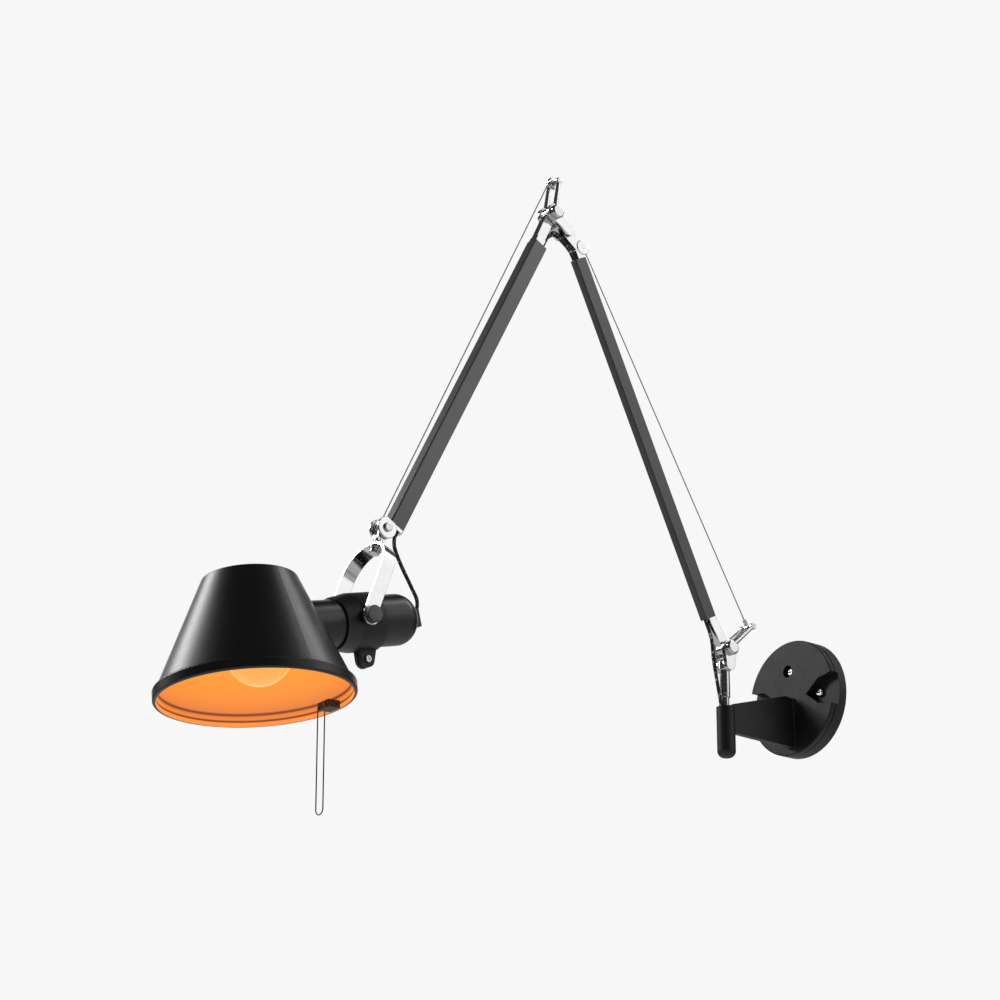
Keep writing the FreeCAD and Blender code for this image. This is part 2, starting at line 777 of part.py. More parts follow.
def horn_pin(across, along, half):
    return pin_x(across, along, horn_pin_radius, -half, half)


def make_ferrule():
    """Swaged end of the lower steel cable, hung on the wall horn's pin."""
    heading = lower_cable_start_heading()
    eye = pin_x(wall_horn_back, wall_horn_up, ferrule_eye_radius, -ferrule_eye_half, ferrule_eye_half)
    tip = V(0, wall_horn_back, wall_horn_up)
    sleeve = Part.makeCylinder(ferrule_radius, ferrule_length, tip, heading)
    body = fuse([eye, sleeve])
    return body.cut(pin_x(wall_horn_back, wall_horn_up, horn_pin_radius + slip, -9, 9))


def lower_cable_start_heading():
    """Direction of the lower steel cable in the upright frame at the shoulder."""
    tip = lower.bring(Part.Vertex(shoulder.point(wall_horn_back, wall_horn_up))).Point
    touch = tangent_spot(tip.y, tip.z, lower_guide_across, lower_guide_along, guide_track, 1)
    run = lower.point(touch[0], touch[1]) - shoulder.point(wall_horn_back, wall_horn_up)
    return run.normalize()


def make_hinge_bolt(head_radius, head_height, pin_radius, x_out, tip):
    pin = pin_x(0, 0, pin_radius, -x_out, x_out + tip)
    head = pin_x(0, 0, head_radius, -x_out - head_height, -x_out)
    head = soften(head, head_radius, head_height * 0.4)
    return fuse([pin, head])


def make_round_nut(radius, height, pin_radius, x_out, tip):
    nut = pin_x(0, 0, radius, x_out, x_out + height)
    outer = [e for e in circular_edges(nut, radius, V(1, 0, 0)) if e.BoundBox.XMin > x_out + height / 2]
    nut = nut.makeFillet(height * 0.42, outer)
    return nut.cut(pin_x(0, 0, pin_radius, x_out - 1, x_out + tip + slip))


def make_wall_joint():
    bolt_tip = nut_height * 0.6
    save(make_spindle(), "spindle")
    save(make_swivel_casting(), "swivel_casting")
    save(shoulder.put(horn_pin(wall_horn_back, wall_horn_up, cheek_outside)), "wall_horn_pin")
    save(shoulder.put(make_ferrule()), "cable_ferrule")
    bolt = make_hinge_bolt(bolt_head_radius, bolt_head_height, hinge_pin_radius, cheek_outside, bolt_tip)
    save(shoulder.put(bolt), "shoulder_bolt")
    nut = make_round_nut(nut_radius, nut_height, hinge_pin_radius, cheek_outside, bolt_tip)
    save(shoulder.put(nut), "shoulder_nut")
    washers = washer_pair(eye_radius, hinge_pin_radius + slip, eye_half, cheek_inside)
    save(shoulder.put(group(washers)), "shoulder_washers")


# ---------------------------------------------------------------------------
# Lower arm
# ---------------------------------------------------------------------------

def plug_limits(across, width, cable_across, radius):
    """Across the tube, from just beside the power cable to the far wall."""
    low = cable_across + radius + 0.25
    high = across + width / 2 - tube_wall - seat
    return low, high


def make_lower_foot():
    """Eye of the lower arm, its neck and the plug in the tube."""
    low, high = plug_limits(lower_tube_across, lower_tube_width, lower_cable_across, cable_radius)
    half = lower_tube_thickness / 2 - tube_wall - seat
    middle = (low + high) / 2
    eye = soften(pin_x(0, 0, eye_radius, -eye_half, eye_half), eye_radius, 0.5)
    neck = link((0, 0), (middle, lower_tube_start - neck_radius), 5.4, neck_radius, -eye_half, eye_half)
    base = box(-eye_half, eye_half, middle - neck_radius, high, lower_tube_start - neck_radius, lower_tube_start)
    plug = plug_bar(half, low, high, lower_tube_start - 1, lower_tube_start + plug_length)
    body = fuse([eye, neck, base, plug])
    return body.cut(pin_x(0, 0, hinge_pin_radius + slip, -eye_half - 5, eye_half + 5))


def make_elbow_casting():
    """Polished casting: plug and cable guide's housing, bent bar, elbow cheeks and the elbow horn."""
    low, high = plug_limits(lower_tube_across, lower_tube_width, lower_cable_across, cable_radius)
    half = lower_tube_thickness / 2 - tube_wall - seat
    start = (bar_start_across, lower_tube_end + bar_start_back + bar_radius)
    end = (elbow_across, elbow_along)
    run = math.hypot(end[0] - start[0], end[1] - start[1])
    toward = ((start[0] - end[0]) / run, (start[1] - end[1]) / run)
    knuckle = (end[0] + toward[0] * knuckle_reach, end[1] + toward[1] * knuckle_reach)
    inner = (knuckle[0] + toward[0] * knuckle_length, knuckle[1] + toward[1] * knuckle_length)
    horn = lower.bring(Part.Vertex(upper.point(elbow_horn_across, elbow_horn_along))).Point
    hub = forked_hub((knuckle[0] - end[0], knuckle[1] - end[1]), knuckle_radius,
                     (inner[0] - end[0], inner[1] - end[1]), (horn.y - end[0], horn.z - end[1]),
                     hinge_pin_radius + slip, cheek_inside, cheek_outside)
    hub = shifted(hub, end[0], end[1])
    bar = link(start, inner, bar_radius, bar_radius + 0.4, -bar_half, bar_half)
    housing = pin_x(lower_guide_across, lower_guide_along, guide_boss_radius, -bar_half - 0.8, bar_half + 0.8)
    housing = soften(housing, guide_boss_radius, 0.8)
    foot = box(-bar_half, bar_half, low, high, lower_tube_end, start[1])
    plug = plug_bar(half, low, high, lower_tube_end - plug_length, lower_tube_end + 1)
    body = fuse([hub, bar, housing, foot, plug])
    chamber = pin_x(lower_guide_across, lower_guide_along, guide_rim + 0.3, -guide_cheek, guide_cheek)
    slot = box(-steel_cable_radius - 0.5, steel_cable_radius + 0.5,
               lower_spring_across - 1.6, lower_guide_across,
               lower_tube_end - plug_length - 1, lower_guide_along)
    outside = lower_guide_across + guide_track
    mouth = box(-steel_cable_radius - 0.5, steel_cable_radius + 0.5, outside - 1.5, outside + 9,
                lower_guide_along - 14, lower_guide_along + 3)
    body = body.cut(chamber).cut(slot).cut(mouth)
    return body.cut(pin_x(lower_guide_across, lower_guide_along, guide_pin_radius + slip, -20, 20))


def make_steel_cable(points, centre, track, side, label):
    """A steel cable from its outer end to a guide, round it and back to the spring."""
    outer, inner = points
    first = tangent_spot(outer[0], outer[1], centre[0], centre[1], track, side)
    last = tangent_spot(inner[0], inner[1], centre[0], centre[1], track, -side)
    top = 1 if centre[1] > outer[1] else -1
    chord = V(0, last[0] - first[0], last[1] - first[1])
    middle = V(0, (first[0] + last[0]) / 2 - centre[0], (first[1] + last[1]) / 2 - centre[1])
    away = V(0, -chord.z, chord.y).normalize()
    if away.z * top < 0:
        away = away * -1
    crest = V(0, centre[0], centre[1]) + away * track
    spots = [V(0, outer[0], outer[1]), V(0, first[0], first[1]), crest,
             V(0, last[0], last[1]), V(0, inner[0], inner[1])]
    path = Part.Wire([
        Part.LineSegment(spots[0], spots[1]).toShape(),
        Part.Arc(spots[1], spots[2], spots[3]).toShape(),
        Part.LineSegment(spots[3], spots[4]).toShape(),
    ])
    return sweep(path, steel_cable_radius, label)


def make_lower_steel_cable():
    heading = lower_cable_start_heading()
    start = shoulder.point(wall_horn_back, wall_horn_up) + heading * (ferrule_length + 0.1)
    start = lower.bring(Part.Vertex(start)).Point
    spring_top = lower_spring_start() + lower_spring_length + lower_spring_wire
    return make_steel_cable(((start.y, start.z), (lower_spring_across, spring_top + terminal_thickness)),
                            (lower_guide_across, lower_guide_along), guide_track, 1, "lower_steel_cable")


def lower_spring_start():
    return lower_tube_start + plug_length + lower_spring_wire / 2 + 0.2


def upper_spring_start():
    return upper_tube_start + plug_length + upper_spring_wire / 2 + 0.2


def spring_terminal(across, start, length, radius, wire):
    """Swaged stop on the end of a steel cable, which the spring pulls on."""
    base = start + length + wire / 2 + 0.1
    return rod_z(radius + wire / 2, base, base + terminal_thickness, across)


def make_lower_arm():
    save(lower.put(tube(lower_tube_width, lower_tube_thickness, lower_tube_start, lower_tube_end,
                        lower_tube_across)), "lower_tube")
    save(lower.put(make_lower_foot()), "lower_arm_eye")
    save(lower.put(make_elbow_casting()), "elbow_casting")
    ring = grooved_guide(guide_track, guide_rim, guide_half, guide_pin_radius + slip)
    save(lower.put(shifted(ring, lower_guide_across, lower_guide_along)), "lower_cable_guide")
    save(lower.put(make_lower_steel_cable()), "lower_steel_cable")
    coil = spring(lower_spring_across, lower_spring_start(), lower_spring_length,
                  lower_spring_radius, lower_spring_wire)
    save(lower.put(coil), "lower_spring")
    stop = spring_terminal(lower_spring_across, lower_spring_start(), lower_spring_length,
                           lower_spring_radius, lower_spring_wire)
    save(lower.put(drill_for_cable(stop, lower_spring_across)), "lower_spring_stop")
    at_elbow = upper
    bolt_tip = nut_height * 0.6
    bolt = make_hinge_bolt(bolt_head_radius, bolt_head_height, hinge_pin_radius, cheek_outside, bolt_tip)
    save(at_elbow.put(bolt), "elbow_bolt")
    nut = make_round_nut(nut_radius, nut_height, hinge_pin_radius, cheek_outside, bolt_tip)
    save(at_elbow.put(nut), "elbow_nut")
    washers = washer_pair(eye_radius, hinge_pin_radius + slip, eye_half, cheek_inside)
    save(at_elbow.put(group(washers)), "elbow_washers")
    guide_pin = pin_x(lower_guide_across, lower_guide_along, guide_pin_radius, -bar_half - 0.8, bar_half + 0.8)
    far_pin = horn_pin(elbow_horn_across, elbow_horn_along, cheek_outside)
    save(group([lower.put(guide_pin), at_elbow.put(far_pin)]), "lower_arm_pins")
    guide = grooved_guide(horn_guide_track, horn_guide_rim, horn_guide_half, horn_pin_radius + slip)
    save(at_elbow.put(shifted(guide, elbow_horn_across, elbow_horn_along)), "elbow_horn_guide")


def drill_for_cable(stop, across):
    limits = stop.BoundBox
    return stop.cut(rod_z(steel_cable_radius + slip, limits.ZMin - 1, limits.ZMax + 1, across))


# ---------------------------------------------------------------------------
# Upper arm
# ---------------------------------------------------------------------------

def make_upper_eye():
    """Eye of the upper arm at the elbow, its neck and the plug in the tube."""
    low, high = plug_limits(upper_tube_across, upper_tube_width, upper_cable_across, cable_radius)
    half = upper_tube_thickness / 2 - tube_wall - seat
    middle = (low + high) / 2
    eye = soften(pin_x(0, 0, eye_radius, -eye_half, eye_half), eye_radius, 0.5)
    neck = link((0, 0), (middle, upper_tube_start - upper_neck_radius), 5.4, upper_neck_radius,
                -eye_half, eye_half)
    base = box(-half, half, low, high, upper_tube_start - 7, upper_tube_start)
    plug = plug_bar(half, low, high, upper_tube_start - 1, upper_tube_start + plug_length)
    body = fuse([eye, neck, base, plug])
    return body.cut(pin_x(0, 0, hinge_pin_radius + slip, -eye_half - 5, eye_half + 5))


def make_head_fork():
    """End piece of the upper arm: plug, end cap and two round cheeks for the head hinge."""
    low, high = plug_limits(upper_tube_across, upper_tube_width, upper_cable_across, cable_radius)
    half = upper_tube_thickness / 2 - tube_wall - seat
    plug = plug_bar(half, low, high, upper_tube_end - plug_length, upper_tube_end + 1)
    cap = rounded_bar(upper_tube_width, upper_tube_thickness, tube_corner,
                      upper_tube_end, upper_tube_end + end_cap_length, upper_tube_across)
    pieces = [plug, cap]
    behind = box(-20, 20, -40, 40, upper_tube_end - 30, upper_tube_end)
    for side in (-1, 1):
        near = min(side * head_cheek_inside, side * head_cheek_outside)
        far = max(side * head_cheek_inside, side * head_cheek_outside)
        cheek = pin_x(head_hinge_across, head_hinge_along, head_hub_radius, near, far)
        cheek = soften(cheek, head_hub_radius, 0.6)
        pieces.append(cheek.cut(behind))
    body = fuse(pieces)
    tongue = pin_x(head_hinge_across, head_hinge_along, head_hub_radius + 0.2,
                   -head_cheek_inside, head_cheek_inside)
    ahead = box(-20, 20, -40, 40, upper_tube_end, upper_tube_end + 60)
    slot = box(-steel_cable_radius - 0.5, steel_cable_radius + 0.5, upper_spring_across - 1.0,
               head_hinge_across - 2.5, upper_tube_end - plug_length - 1, upper_tube_end + 5)
    lead = rod_z(cable_radius + 0.25, upper_tube_end - 5, upper_tube_end + 10, upper_cable_across)
    body = body.cut(tongue.common(ahead)).cut(slot).cut(lead)
    return body.cut(pin_x(head_hinge_across, head_hinge_along, head_pin_radius + slip, -20, 20))


def make_upper_steel_cable():
    spring_end = upper_spring_start() + upper_spring_length + upper_spring_wire
    inner = (upper_spring_across, spring_end + terminal_thickness)
    centre = (head_hinge_across, head_hinge_along)
    guide = (elbow_horn_across, elbow_horn_along)
    touch_guide = (guide[0] + horn_guide_track, guide[1])
    first = tangent_spot(touch_guide[0], touch_guide[1], centre[0], centre[1], upper_guide_track, 1)
    last = tangent_spot(inner[0], inner[1], centre[0], centre[1], upper_guide_track, -1)
    run = V(0, first[0] - touch_guide[0], first[1] - touch_guide[1]).normalize()
    normal = V(0, run.z, -run.y)
    leave = V(0, guide[0], guide[1]) + normal * horn_guide_track
    first = tangent_spot(leave.y, leave.z, centre[0], centre[1], upper_guide_track, 1)
    behind = V(0, guide[0], guide[1]) - run * horn_guide_track
    half_way = (normal - run).normalize() * horn_guide_track + V(0, guide[0], guide[1])
    crest = V(0, centre[0], centre[1]) + run * upper_guide_track
    path = Part.Wire([
        Part.Arc(behind, half_way, leave).toShape(),
        Part.LineSegment(leave, V(0, first[0], first[1])).toShape(),
        Part.Arc(V(0, first[0], first[1]), crest, V(0, last[0], last[1])).toShape(),
        Part.LineSegment(V(0, last[0], last[1]), V(0, inner[0], inner[1])).toShape(),
    ])
    return sweep(path, steel_cable_radius, "upper_steel_cable")


def make_upper_arm():
    save(upper.put(tube(upper_tube_width, upper_tube_thickness, upper_tube_start, upper_tube_end,
                        upper_tube_across)), "upper_tube")
    save(upper.put(make_upper_eye()), "upper_arm_eye")
    save(upper.put(make_head_fork()), "head_fork")
    coil = spring(upper_spring_across, upper_spring_start(), upper_spring_length,
                  upper_spring_radius, upper_spring_wire)
    save(upper.put(coil), "upper_spring")
    stop = spring_terminal(upper_spring_across, upper_spring_start(), upper_spring_length,
                           upper_spring_radius, upper_spring_wire)
    save(upper.put(drill_for_cable(stop, upper_spring_across)), "upper_spring_stop")
    save(upper.put(make_upper_steel_cable()), "upper_steel_cable")
    ring = grooved_guide(upper_guide_track, guide_rim - 0.4, guide_half, head_pin_radius + slip)
    save(upper.put(shifted(ring, head_hinge_across, head_hinge_along)), "upper_cable_guide")
    at_hinge = Frame(head_hinge.y, head_hinge.z, upper_lean)
    rivet = [pin_x(0, 0, head_pin_radius, -head_cheek_outside, head_cheek_outside)]
    for side in (-1, 1):
        near = min(side * head_cheek_outside, side * (head_cheek_outside + head_boss_height))
        boss = pin_x(0, 0, head_boss_radius, near, near + head_boss_height)
        rivet.append(soften(boss, head_boss_radius, head_boss_height * 0.4))
    save(at_hinge.put(fuse(rivet)), "head_hinge_rivet")
    washers = washer_pair(link_eye_radius, head_pin_radius + slip,
                          link_eye_inside + link_eye_thickness, head_cheek_inside)
    save(at_hinge.put(group(washers)), "head_washers")


# ---------------------------------------------------------------------------
# Head
# ---------------------------------------------------------------------------

def make_head_link():
    """Polished link: two eyes on the head hinge, and a spigot that the yoke swivels on."""
    pieces = []
    for side in (-1, 1):
        inner = side * link_eye_inside
        outer = side * (link_eye_inside + link_eye_thickness)
        low, high = min(inner, outer), max(inner, outer)
        pieces.append(link((0, 0), (0, link_body_start + 4), link_eye_radius, link_body_radius, low, high))
    outer = link_eye_inside + link_eye_thickness
    block = box(-outer, outer, -link_body_radius, link_body_radius, link_body_start, link_body_start + 4)
    stem = rod_z(link_body_radius, link_body_start + 2, crown_seat)
    stem = soften(stem, link_body_radius, 0.5, V(0, 0, 1))
    spigot = rod_z(link_spigot_radius, crown_seat - 1, crown_nut_seat() + yoke_nut_height * 0.8)
    body = fuse(pieces + [block, stem, spigot])
    return body.cut(pin_x(0, 0, head_pin_radius + slip, -10, 10))


def crown_nut_seat():
    return crown_top + strap_thickness + crown_pad_height


def make_yoke():
    """Bent strap: a half round over the lampholder and two straight legs."""
    middle = crown_top + strap_outside
    ring = Part.makeCylinder(strap_outside, 2 * strap_half_width, V(0, -strap_half_width, middle), V(0, 1, 0))
    hollow = Part.makeCylinder(strap_inside, 4 * strap_half_width, V(0, -2 * strap_half_width, middle), V(0, 1, 0))
    lower_half = box(-50, 50, -20, 20, middle, middle + 60)
    arch = ring.cut(hollow).cut(lower_half)
    pieces = [arch]
    for side in (-1, 1):
        low = min(side * strap_inside, side * strap_outside)
        high = max(side * strap_inside, side * strap_outside)
        pieces.append(box(low, high, -strap_half_width, strap_half_width, middle, yoke_reach))
        pieces.append(pin_x(0, yoke_reach, strap_half_width, low, high))
    pieces.append(rod_z(crown_pad_radius, crown_seat, crown_top + 2))
    pieces.append(rod_z(crown_pad_radius, crown_top + 2, crown_nut_seat()))
    body = fuse(pieces)
    body = body.cut(rod_z(link_spigot_radius + slip, crown_seat - 1, crown_nut_seat() + 1))
    return body.cut(pin_x(0, yoke_reach, tilt_pin_radius + slip, -50, 50))


def make_yoke_nut():
    nut = rod_z(yoke_nut_radius, crown_nut_seat(), crown_nut_seat() + yoke_nut_height)
    lower_edge = [e for e in circular_edges(nut, yoke_nut_radius, V(0, 0, 1))
                  if e.BoundBox.ZMin > crown_nut_seat() + 1]
    nut = nut.makeFillet(1.2, lower_edge)
    return nut.cut(rod_z(link_spigot_radius, crown_nut_seat() - 1, crown_nut_seat() + yoke_nut_height * 0.8))


def make_knob_ring():
    """Polished ring between the near leg and the clamp knob."""
    ring = pin_x(0, 0, knob_ring_radius, strap_outside, strap_outside + knob_ring_height)
    ring = soften(ring, knob_ring_radius, 0.6)
    return ring.cut(pin_x(0, 0, tilt_pin_radius + slip, strap_outside - 1, strap_outside + 10))


def make_tilt_knob():
    """Round clamp knob with its screw into the lampholder's band."""
    start = strap_outside + knob_ring_height
    knob = pin_x(0, 0, knob_radius, start, start + knob_height)
    outer = [e for e in circular_edges(knob, knob_radius, V(1, 0, 0)) if e.BoundBox.XMin > start + 1]
    knob = knob.makeFillet(0.9, outer)
    grips = 24
    for step in range(grips):
        angle = 2 * math.pi * step / grips
        spot = (knob_radius + 0.35) * math.cos(angle), (knob_radius + 0.35) * math.sin(angle)
        knob = knob.cut(pin_x(spot[0], spot[1], 0.6, start - 1, start + knob_height + 1))
    shank = pin_x(0, 0, tilt_pin_radius, strap_inside - tilt_pin_depth, start + 1)
    return fuse([knob, shank])


def make_far_screw():
    start = -strap_outside
    head = soften(pin_x(0, 0, far_head_radius, start - far_head_height, start), far_head_radius, 0.9)
    shank = pin_x(0, 0, tilt_pin_radius, start, -strap_inside + tilt_pin_depth)
    slot = box(start - far_head_height - 1, start - far_head_height + 1.0, -0.6, 0.6, -10, 10)
    return fuse([head, shank]).cut(slot)


def make_dome():
    """Rear cover of the lampholder: a cylinder with a rounded end, hollow inside."""
    def solid(radius, end, bulge):
        body = rod_z(radius, end + bulge, band_back)
        cap = Part.makeSphere(1.0)
        matrix = FreeCAD.Matrix()
        matrix.scale(radius, radius, bulge)
        cap = cap.transformGeometry(matrix)
        cap.translate(V(0, 0, end + bulge))
        keep = rod_z(radius + 1, end - 1, end + bulge)
        return fuse([body, cap.common(keep)])
    shell = solid(dome_radius, dome_end, dome_bulge)
    shell = shell.cut(solid(dome_radius - dome_wall, dome_end + dome_wall, dome_bulge - dome_wall + 1.0))
    return shell.cut(cable_hole(cable_radius + 0.2, "dome hole"))


def make_band():
    """Band round the lampholder, with a boss for each leg and a clamp lug below."""
    ring = rod_z(band_radius, band_back, band_front)
    ring = soften(ring, band_radius, 0.6, V(0, 0, 1))
    boss = pin_x(0, 0, strap_half_width, -strap_inside, strap_inside)
    lug = link((lug_across, lug_along), (-band_radius + 6, band_back + 11), lug_radius, 10, -lug_half, lug_half)
    ring = fuse([ring, boss, lug])
    ring = ring.cut(rod_z(band_radius - flange_wall, band_back - 1, band_front + strap_half_width))
    split = box(-0.8, 0.8, -80, -band_radius + flange_wall + 3, band_back - 5, band_front + 20)
    ring = ring.cut(split)
    ring = ring.cut(pin_x(0, 0, tilt_pin_radius + slip, -50, 50))
    hole = pin_x(lug_across, lug_along, lug_screw_radius + slip, -20, 20)
    return ring.cut(hole)


def make_lug_screw():
    one = screw(lug_screw_radius, lug_screw_head_radius, lug_screw_head_height, 2 * lug_half)
    return aim(one, V(lug_half, lug_across, lug_along), V(1, 0, 0))


def make_flange():
    """Front of the lampholder: tapered flange, sleeve inside the band and a spigot for the shade's collar."""
    outside = revolve([
        (0, band_front), (band_radius, band_front), (flange_front_radius, flange_front),
        (spigot_radius, flange_front), (spigot_radius, flange_front + spigot_length),
        (0, flange_front + spigot_length),
    ])
    sleeve = rod_z(band_radius - flange_wall - seat, band_back, band_front)
    body = fuse([outside, sleeve])
    inner = spigot_radius - spigot_wall
    body = body.cut(rod_z(inner, carrier_floor, flange_front + spigot_length + 1))
    body = body.cut(rod_z(dome_radius - dome_wall, band_back - 1, band_front + 2))
    body = body.cut(rod_z(4.0, band_front, band_front + 10))
    bosses = pin_x(0, 0, strap_half_width + seat, -strap_outside, strap_outside)
    bosses = bosses.cut(rod_z(band_radius - flange_wall - seat, -20, 20))
    return body.cut(bosses)


def make_lamp_socket():
    """Screw socket for the bulb, on a stem that stands on the flange's floor."""
    rear = -globe_seat - socket_floor
    shell = rod_z(socket_shell_radius, rear, rear + socket_shell_length)
    shell = soften(shell, socket_shell_radius, 0.8, V(0, 0, 1))
    bore = rod_z(cap_radius + gap, rear + socket_floor - cap_tip_length, rear + socket_shell_length + 1)
    stem = rod_z(socket_stem_radius, rear - 40, rear + 1)
    body = bulb_frame.put(fuse([shell.cut(bore), stem]))
    return body.cut(holder.put(rod_z(band_radius * 2, carrier_floor - 60, carrier_floor)))


def bulb_profile(inset, base):
    """Half outline of the bulb, moved in by the inset, closed along the axis."""
    angle = math.radians(bulb_shoulder_angle)
    radius = globe_radius - inset
    crown = V(0, 0, radius)
    shoulder_spot = V(radius * math.cos(angle), 0, -radius * math.sin(angle))
    neck_spot = V(bulb_neck_radius - inset, 0, -globe_seat + cap_length + bulb_neck_length)
    foot_spot = V(cap_radius - 0.4 - inset, 0, base)
    edges = [
        Part.Arc(crown, V(radius, 0, 0), shoulder_spot).toShape(),
        Part.LineSegment(shoulder_spot, neck_spot).toShape(),
        Part.LineSegment(neck_spot, foot_spot).toShape(),
        Part.LineSegment(foot_spot, V(0, 0, base)).toShape(),
        Part.LineSegment(V(0, 0, base), crown).toShape(),
    ]
    return Part.Face(Part.Wire(edges)).revolve(V(0, 0, 0), V(0, 0, 1), 360)


def make_bulb_glass():
    """Pear-shaped glass envelope, open at the cap."""
    base = -globe_seat + cap_length
    return bulb_profile(0, base).cut(bulb_profile(glass_wall, base - 1))


def make_bulb_cap():
    """Screw cap of the bulb, with rounded threads and a contact at its tip."""
    base = -globe_seat
    body = rod_z(cap_radius - 0.6, base + cap_tip_length, base + cap_length)
    tip = rod_z(cap_tip_radius, base + 0.2, base + cap_tip_length)
    pitch = 3.6
    count = 5
    rings = []
    for step in range(count):
        height = base + cap_tip_length + 3.0 + step * pitch
        rings.append(Part.makeTorus(cap_radius - 0.9, 0.9, V(0, 0, height)))
    return fuse([body, tip] + rings)


def cable_hole(radius, label):
    """The way of the power cable through the cord grip, in the lampholder's frame."""
    points = [holder.bring(Part.Vertex(spot)).Point for spot in head_cable_points()[3:]]
    return sweep(rounded_path(points, label), radius, label)


def make_cord_grip():
    """Small clamp at the back of the dome that holds the power cable."""
    back = dome_end - grip_length
    block = box(-grip_half, grip_half, -grip_height / 2, grip_height / 2, back, dome_end + 4)
    edges = [e for e in block.Edges if e.BoundBox.ZMax < back + 0.1]
    block = block.makeFillet(1.4, edges)
    return block.cut(holder_dome_outside()).cut(cable_hole(cable_radius + slip, "cord_grip hole"))


def holder_dome_outside():
    body = rod_z(dome_radius, dome_end + dome_bulge, band_back)
    cap = Part.makeSphere(1.0)
    matrix = FreeCAD.Matrix()
    matrix.scale(dome_radius, dome_radius, dome_bulge)
    cap = cap.transformGeometry(matrix)
    cap.translate(V(0, 0, dome_end + dome_bulge))
    return fuse([body, cap])


def shade_profile(offset):
    """Outside of the shade without its lip, as (radius, height) points, moved in by the offset."""
    slope = math.atan2(shade_bottom_radius - shade_top_radius, shade_cone_height)
    inset = offset / math.cos(slope)
    top = lip_height + shade_cone_height - offset
    top_radius = shade_top_radius - inset + offset * math.tan(slope)
    return [(0, top), (top_radius, top), (shade_bottom_radius - inset, lip_height)], top_radius, top


def shade_cone(offset, bottom):
    points, top_radius, top = shade_profile(offset)
    slope = (shade_bottom_radius - shade_top_radius) / shade_cone_height
    foot = points[-1][0] + (lip_height - bottom) * slope
    return revolve([(0, top), (top_radius, top), (foot, bottom), (0, bottom)])


def make_shade():
    """Conical shade with a closed top and a stepped lip, and a hole for its collar."""
    outer = shade_cone(0, lip_height)
    top_edge = [e for e in outer.Edges if isinstance(e.Curve, Part.Circle)
                and e.BoundBox.ZMin > lip_height + shade_cone_height - 1]
    outer = outer.makeFillet(shade_top_round, top_edge)
    lip = Part.makeCylinder(lip_radius, lip_height)
    lip = lip.makeFillet(lip_round, [e for e in lip.Edges if isinstance(e.Curve, Part.Circle)])
    body = fuse([outer, lip])
    body = body.cut(shade_cone(shade_wall, lip_height - shade_wall))
    body = body.cut(Part.makeCylinder(lip_radius - lip_round - shade_wall, lip_height - shade_wall))
    hole = shade.bring(holder.put(rod_z(shade_collar_radius - collar_wall, flange_front, 75)))
    keep = box(-60, 60, -20, 120, 0, 200)
    return body.cut(hole.common(keep))


def make_shade_collar():
    """Round collar on the side of the shade, which turns on the lampholder's spigot."""
    collar = rod_z(shade_collar_radius, flange_front, 75)
    rear = [e for e in circular_edges(collar, shade_collar_radius, V(0, 0, 1))
            if e.BoundBox.ZMax < flange_front + 1]
    collar = collar.makeFillet(0.8, rear)
    collar = collar.cut(rod_z(spigot_radius + slip, flange_front - 1, 80))
    collar = collar.cut(rod_z(shade_collar_radius - collar_wall, flange_front + spigot_length + 1, 80))
    cone = holder.bring(shade.put(shade_cone(-0.05, 0)))
    collar = collar.cut(cone)
    solids = sorted(collar.Solids, key=lambda s: s.CenterOfMass.z)
    return solids[0]


def make_handle_clip():
    """Clip inside the lip, which carries the wire loop."""
    inner = lip_radius - lip_round - shade_wall
    block = box(-clip_width / 2, clip_width / 2, inner - clip_depth, inner + 3, 0.4, 0.4 + clip_height)
    block = block.cut(Part.makeCylinder(200, 20).cut(Part.makeCylinder(inner, 20)))
    edges = [e for e in block.Edges if abs(e.tangentAt(e.FirstParameter).x) > 0.99 and e.BoundBox.YMax < inner - 1]
    block = block.makeFillet(0.8, edges)
    notch_half = loop_half_width + loop_wire_radius + 1.2
    notch = box(-notch_half, notch_half, loop_setback - 2.2, loop_setback + 2.2, -1, loop_rise + 2.2)
    pin_room = box(-notch_half + 3.4, notch_half - 3.4, loop_setback - 4, loop_setback + 4, -1, 20)
    notch = notch.cut(pin_room)
    block = block.cut(notch)
    hole = pin_x(loop_hinge.y, loop_hinge.z, loop_wire_radius + slip,
                 loop_hinge.x - notch_half, loop_hinge.x + notch_half)
    return block.cut(shade.bring(hole))


def make_wire_loop():
    """Long narrow loop of spring wire, hung in the clip by its two turned-in ends."""
    turn = 1.6
    half = loop_half_width
    inner_x = half - 3.0
    top = loop_hinge
    corner = turn * (1 - math.sqrt(0.5))
    edges = [
        Part.LineSegment(top + V(inner_x, 0, 0), top + V(half - turn, 0, 0)).toShape(),
        Part.Arc(top + V(half - turn, 0, 0), top + V(half - corner, 0, -corner),
                 top + V(half, 0, -turn)).toShape(),
        Part.LineSegment(top + V(half, 0, -turn), top + V(half, 0, -loop_length + half)).toShape(),
        Part.Arc(top + V(half, 0, -loop_length + half), top + V(0, 0, -loop_length),
                 top + V(-half, 0, -loop_length + half)).toShape(),
        Part.LineSegment(top + V(-half, 0, -loop_length + half), top + V(-half, 0, -turn)).toShape(),
        Part.Arc(top + V(-half, 0, -turn), top + V(-half + corner, 0, -corner),
                 top + V(-half + turn, 0, 0)).toShape(),
        Part.LineSegment(top + V(-half + turn, 0, 0), top + V(-inner_x, 0, 0)).toShape(),
    ]
    return sweep(Part.Wire(edges), loop_wire_radius, "wire_loop")


